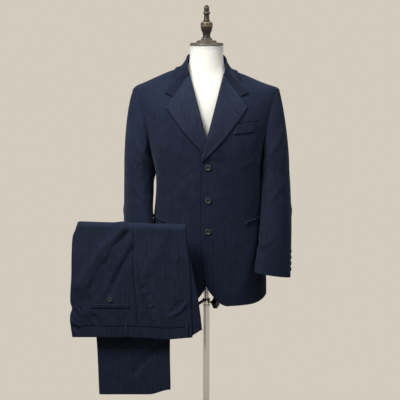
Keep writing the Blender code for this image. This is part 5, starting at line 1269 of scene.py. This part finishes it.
def hidden_layers():
    """The folded legs' hidden sides: one rounded stack, with its layers showing at its edges."""
    low = LINE + LAYER_GAP
    high = low + HIDDEN_LAYERS
    courses = np.concatenate(((0.008,), course_rows(0.010, 2.992)[4:-4:2], (2.994,)))
    left, seam, right = (edge_at(column, courses) for column in (SEAT_EDGE, SIDE_SEAM, FRONT_CREASE))
    second = np.maximum(edge_at(SECOND_CREASE, courses), right + 0.0006)
    start = left + 0.0016

    def flat(first, last, out):
        """The flat of one side, from beside its first edge to beside its last one."""
        return ([at(mix(seam, first, share), out) for share in (1.0, 0.66, 0.33, 0.0)]
                + [at(mix(seam, last, share), out) for share in (0.33, 0.66, 1.0)])

    middle = MIDDLE_OUT
    ring = [at(start + 0.0036, low + 0.0014), *flat(start + 0.012, second - 0.012, low)]
    ring += [at(edge - inset, out) for edge, inset, out in (
        (second, 0.0040, low + 0.0006), (second, 0.0030, low + 0.0014), (second, 0.0034, middle - 0.0010),
        (right, 0.0030, middle - 0.0007), (right, 0.0066, middle), (right, 0.0036, middle + 0.0006),
        (right, 0.0030, high - 0.0014), (right, 0.0044, high - 0.0005))]
    ring += flat(right - 0.012, left + 0.012, high)
    ring += [at(edge + inset, out) for edge, inset, out in (
        (left, 0.0036, high - 0.0014), (left, 0.0036, middle + 0.0006), (left, 0.0066, middle),
        (start, 0.0036, middle - 0.0006))]
    x, out = np.moveaxis(np.stack(ring, 1), -1, 0)
    lift = np.where(x > right[:, None] - 0.002, 0.0210, 0.0) * np.clip(1.0 - courses / 0.5, 0.0, 1.0)[:, None]
    points = drape(x, courses[:, None], out, False, lift)
    uvs = np.stack((x, run_along(points, 0)), -1)
    finished(ring_mesh("trouser_hidden_layers_cloth", points, TROUSER_WOOL, uvs, 50.0, way=-1))


def strip_on_trousers(name, leg, corners, wall, rows, columns, rise, loop=False):
    """A strip on a leg, from corners (across, height): lower left and right, upper left and right."""
    along, up, (x, z) = strip_places(corners, columns, rows, 0.4 / columns, 0.4 / rows)
    sign = LEGS[leg][0]
    middle = drape(x, course_of(z, x), strip_base(leg) + sign * (wall / 2.0 + rise(along, up)))
    normals = np.broadcast_to((0.0, -sign, 0.0), middle.shape)
    carrier = f"waistband_{leg}_cloth" if loop else f"trouser_{leg}_front_cloth"
    # belt loops in the copy of the wool painted lighter for the light on them; other strips in the trousers'
    # wool
    cloth(name, middle, normals, PAINTED_LIT_WOOL if loop else TROUSER_WOOL, np.stack((x, z), -1), "laid", carrier,
          wall, 0.0006)


def strip_base(leg, gap=STRIP_GAP):
    """Stand of a gap off a leg's outer face."""
    sign, flat_out = LEGS[leg][:2]
    return flat_out + LINE + gap if sign > 0 else -gap


def line_on_leg(name, leg, ends, radius, gap):
    """A thin line of painted shade on a leg's outer face, straight between two places (across, height)."""
    across, height = np.linspace(*ends, 60).T
    shade_line(name, drape(across, course_of(height, across), strip_base(leg, gap)), radius)


def trouser_leg(leg):
    sign, _, step_up, front = LEGS[leg]
    first = course_of(WAIST_EDGE + WAISTBAND + step_up)
    leg_panel(leg, "front", first)
    leg_panel(leg, "back", first)
    waistband(leg)

    def raised(corners):
        return [(x, z + step_up) for x, z in corners]

    strip_on_trousers(f"back_pocket_{leg}_cloth", leg, raised(box_corners(-0.369, -0.246, 0.7815, 0.7925)),
                      0.0014, 26, 40, lambda along, up: piping(along, up, 0.06))
    slant = raised(((-0.1785, 0.734), (-0.1740, 0.734), (-0.2250, 0.884), (-0.2205, 0.884)))
    strip_on_trousers(f"slant_pocket_{leg}_cloth", leg, slant, 0.0010, 60, 8, lambda along, up: 0.0)
    # lines of painted shade along the slant pocket's edge, the side seam and the waist seam
    line_on_leg(f"slant_pocket_line_{leg}", leg, raised(((-0.1737, 0.734), (-0.2202, 0.884))), 0.0007, 0.0003)
    courses = np.linspace(first + 0.006, 0.985, 80)
    seam = drape(edge_at(SIDE_SEAM, courses) - 0.0004, courses, strip_base(leg, 0.0001))
    shade_line(f"side_seam_line_{leg}", seam, 0.0004)
    across = np.linspace(-0.4270, edge_at(front, first) - 0.008, 90)
    band = drape(across, first - 0.0008, strip_base(leg, 0.0003), lift=waist_lift(leg, across))
    shade_line(f"waist_seam_line_{leg}", band, 0.0005)
    # a line of painted shade in the back pocket's slit
    slit = raised(((-0.3660, 0.7870), (-0.2490, 0.7870)))
    line_on_leg(f"back_pocket_slit_{leg}", leg, slit, 0.0010, STRIP_GAP + 0.0004)
    for number, x in enumerate((-0.257, -0.0635), 1):
        loop = raised(box_corners(x - 0.0045, x + 0.0045, WAIST_EDGE + 0.003, WAIST_EDGE + 0.051))
        strip_on_trousers(f"belt_loop_{leg}_{number}_cloth", leg, loop, 0.0020, 26, 12,
                          lambda along, up: 0.0012 * np.sin(up * math.pi)[:, None], True)
    place = drape(-0.308, course_of(0.8075 + step_up), 0.0) - (0.0, strip_base(leg), 0.0)
    button(f"back_pocket_button_{leg}_horn", place, np.array((0.0, -sign, 0.0)), 0.0075, 0.0028)


# ---------------------------------------------------------------- form, stand and bar

NECK_SEAM = 1.5885
FORM_SEAMS = (0.0, 0.20, 0.5, 0.80, 1.0, 1.20, 1.5, 1.80, 2.0)   # in half turns from the front
LOBE_DEPTH = 0.22
KNOB_AXIS = unit(np.array((0.90, -0.436, 0.0)))
KNOB_REACH = 0.0162
BORE = 10.1            # radius in the lower pole and its lock, in millimetres
UPPER_POLE_LOW = 0.400
CLAMP_LOW = LOWER_POLE_TOP + 0.0222
BEND = 0.018


def dress_form():
    """The padded form: smooth, with seams down its front, back, sides and between, and a neck seam."""
    heights = np.concatenate((spaced(FORM_BOTTOM, 1.44, 0.009, 0.003),
                              spaced(1.44, FORM_TOP, 0.0028, 0.001)[1:]))
    turn = turns_of(160)
    x, y = oval(FORM, heights, turn)
    middle = section(FORM, heights, False)[3][:, None]
    seam = sum(hump(turn / math.pi - place, 0.012) for place in FORM_SEAMS)
    collar = hump(heights - NECK_SEAM, 0.0009)
    shrink = 1.0 - 0.006 * seam * (1.0 - step(1.545, 1.560, heights))[:, None] - 0.016 * collar[:, None]
    x, y, z = np.broadcast_arrays(x * shrink, (y - middle) * shrink + middle, heights[:, None])
    uvs = np.stack(np.broadcast_arrays(turn * 0.15, heights[:, None]), -1)
    made = ring_mesh("dress_form_linen", settle(np.stack((x, y, z), -1)), LINEN, uvs, 55.0)
    finished(made)


def cap_and_finial():
    turned("neck_cap_bronze", (
        (0, 52), (0.6, 54.6), (2.2, 55.8), (5, 56), (6.2, 55.6), (7.2, 54.4), (8.4, 54), (9.8, 52), (10.8, 46),
        (11.3, 38), (12, 34.6), (13.6, 33.6), (16, 32.2), (18, 29.6), (18.8, 18)),
        FORM_TOP + SEAM, CAP_BRONZE, 96)
    turned("finial_bronze", (
        (0, 17.2), (0.8, 18.2), (3, 18.4), (5.2, 17.8), (6.6, 15.8), (7.8, 13.6), (10, 12.8), (13.5, 12.4),
        (19, 12.6), (24, 14.2), (29, 16.5), (35, 18.2), (40, 19.2), (45, 19.9), (50, 20.1), (53, 19.6),
        (54, 18.6), (55.2, 19), (57, 17.8), (58.5, 14), (60, 11.6), (64, 9.8), (68, 8.8), (75, 8.3), (80, 8.3),
        (82.2, 9), (83.8, 11.2), (85.6, 12.2), (87.6, 12.2), (89.2, 11.2), (90.4, 9), (91.8, 7.8), (95, 8.2),
        (98, 8.8), (101, 8.9), (104, 8.5), (107, 7.6), (109.5, 5.8), (111.2, 3.6), (112, 0.8)),
        FORM_TOP + 0.0188 + 2.0 * SEAM, BRONZE, sharp=60.0)


def stand():
    turned("stand_base_steel", (
        (0, 188.5), (0.4, 189.6), (1.2, 190), (8, 190), (9.2, 189.3), (9.8, 188.2), (10, 186.8), (10, 120),
        (10, 60), (10.2, 40), (11, 35), (13, 33), (24, 27.5), (26.8, 26.2), (27.8, 24), (28, 14)),
        0.0, BASE, 128, body="stand")
    start = 0.028 + SEAM
    high = (LOWER_POLE_TOP - start) / MM
    turned("lower_pole_chrome", (
        (0, 11.1), (0.4, 11.5), (100, 11.5), (300, 11.5), (500, 11.5), (high - 0.4, 11.5), (high, 11.1),
        (high, BORE), (high * 0.5, BORE), (0, BORE)),
        start, CHROME, closed=False, body="stand")
    turned("lock_collar_chrome", (
        (0, 12.6), (0.6, 13.2), (1.6, 13.5), (6, 13.5), (6.6, 13.1), (7.2, 13.5), (15, 13.5), (19.6, 13.5),
        (20.6, 13.2), (21.2, 12.6), (21.2, BORE), (0, BORE)),
        LOWER_POLE_TOP + SEAM, CHROME, closed=False, body="stand")
    high = (FORM_BOTTOM - 0.0123 - UPPER_POLE_LOW) / MM
    turned("upper_pole_satin", ((0, 9.1), (0.4, 9.5), (high * 0.5, 9.5), (high - 0.2, 9.5), (high, 9.4)),
           UPPER_POLE_LOW, SATIN)
    turned("form_socket_chrome", ((0, 19), (0.6, 20), (5, 26.2), (8.5, 33.4), (9.2, 34), (11.7, 34)),
           FORM_BOTTOM - 0.0120, CHROME)
    turned("lock_knob_plastic", (
        (0, 4), (0.3, 4.2), (5, 4.2), (5.6, 7), (6.4, 8), (9.5, 9), (11, 10.2), (11.4, 15), (12.2, 18.6),
        (14, 19.7), (23, 20), (25.2, 19.5), (26.8, 18), (27.7, 15), (28, 9), (27.6, 6.4), (27.6, 1)),
        KNOB_AXIS * KNOB_REACH + (0.0, 0.0, LOWER_POLE_TOP + 0.0145), KNOB, 120, KNOB_AXIS,
        5, body="knob")


def trouser_carrier():
    bore = 9.5 + SEAM / MM
    turned("arm_clamp_steel", (
        (0, 12.8), (0.5, 13.4), (1.2, 13.5), (2.8, 13.5), (3.5, 13.4), (4, 12.8), (4, bore), (0, bore)),
        CLAMP_LOW, BLACK, closed=False)
    corners = np.array(((-0.0076, -0.0132, CLAMP_LOW + 0.0020), (-0.0300, -0.0522, 0.7405),
                        (-0.078, BAR_Y, 0.7440), (-0.078, BAR_Y, bar_height(-0.078)),
                        (BAR_ENDS[0], BAR_Y, bar_height(BAR_ENDS[0]))))
    t = np.linspace(0.0, 1.0, 17)[:, None]
    route = [corners[:1]]
    for before, corner, after in zip(corners, corners[1:], corners[2:]):
        start, end = (corner + unit(other - corner) * BEND for other in (before, after))
        route.append(start * (1 - t) ** 2 + corner * (2 * t * (1 - t)) + end * t ** 2)
    route = np.concatenate((*route, corners[-1:]))
    finished(tube("trouser_arm_steel", route, ROD_RADIUS, 24, BLACK, 45.0))


for SIDE in SIDES:
    for PART in (jacket_front, jacket_side, jacket_back, lapel, sleeve):
        PART(*SIDE)
collar()
lapping_edges()
body_seams()
pockets()
buttons()
hidden_layers()
trouser_leg("left")
trouser_leg("right")
dress_form()
cap_and_finial()
stand()
trouser_carrier()

# ---------------------------------------------------------------- studio

BACKDROP = (0.645, 0.597, 0.514)
AMBIENT = 0.14         # share of the backdrop's light that falls on the cloth
FLOOR_RADIUS = 0.9


def studio():
    """A pale backdrop seen as it is, whose light on the cloth is dimmed, and a floor under the stand."""
    world = bpy.data.worlds.new("studio")
    bpy.context.scene.world = world
    world.use_nodes = True
    tree = world.node_tree
    back = tree.nodes["Background"]
    back.inputs[0].default_value = (*BACKDROP, 1.0)
    path = tree.nodes.new("ShaderNodeLightPath")
    dim = tree.nodes.new("ShaderNodeMath")
    dim.operation = "MULTIPLY_ADD"
    tree.links.new(path.outputs["Is Diffuse Ray"], dim.inputs[0])
    dim.inputs[1].default_value = AMBIENT - 1.0
    dim.inputs[2].default_value = 1.0
    tree.links.new(dim.outputs[0], back.inputs[1])
    mesh = bpy.data.meshes.new("studio_floor")
    points = [(FLOOR_RADIUS * math.cos(turn), FLOOR_RADIUS * math.sin(turn), -0.0005) for turn in turns_of(96)]
    mesh.from_pydata(points, [], [tuple(range(len(points)))])
    mesh.materials.append(Look("studio_paper", (0.62, 0.57, 0.49), 1.0, Specular_IOR_Level=0.0).made)
    floor = bpy.data.objects.new("studio_floor", mesh)
    bpy.context.scene.collection.objects.link(floor)


def light(name, place, aim, size, power, colour):
    data = bpy.data.lights.new(name, "AREA")
    data.shape = "DISK"
    data.size = size
    data.energy = power
    data.color = colour
    made = bpy.data.objects.new(name, data)
    made.location = place
    made.rotation_euler = (Vector(aim) - Vector(place)).to_track_quat("-Z", "Y").to_euler()
    bpy.context.scene.collection.objects.link(made)


studio()
light("key", (-0.90, -1.10, 2.56), (-0.05, 0.0, 1.30), 0.75, 42.0, (1.0, 0.99, 0.97))
light("fill", (0.9, -2.3, 2.4), (0.1, 0.0, 1.40), 1.4, 3.0, (0.90, 0.95, 1.0))
light("back", (-0.3, 2.9, 1.55), (0.0, 0.0, 1.20), 1.6, 26.0, (0.97, 0.98, 1.0))
light("right", (1.10, -0.75, 2.55), (0.05, 0.0, 1.35), 0.9, 11.0, (0.96, 0.98, 1.0))

CAMERA_PLACE = (-0.0215, -3.10, 1.62)
CAMERA_AIM = 1.09      # height of what the picture's middle shows
camera_data = bpy.data.cameras.new("camera")
camera_data.sensor_width = 36.0
camera_data.lens = 84.07
camera = bpy.data.objects.new("camera", camera_data)
camera.location = CAMERA_PLACE
camera.rotation_euler = (math.pi / 2.0 + math.atan((CAMERA_PLACE[2] - CAMERA_AIM) / CAMERA_PLACE[1]), 0.0, 0.0)
bpy.context.scene.collection.objects.link(camera)
bpy.context.scene.camera = camera
bpy.context.scene.view_settings.view_transform = "Standard"
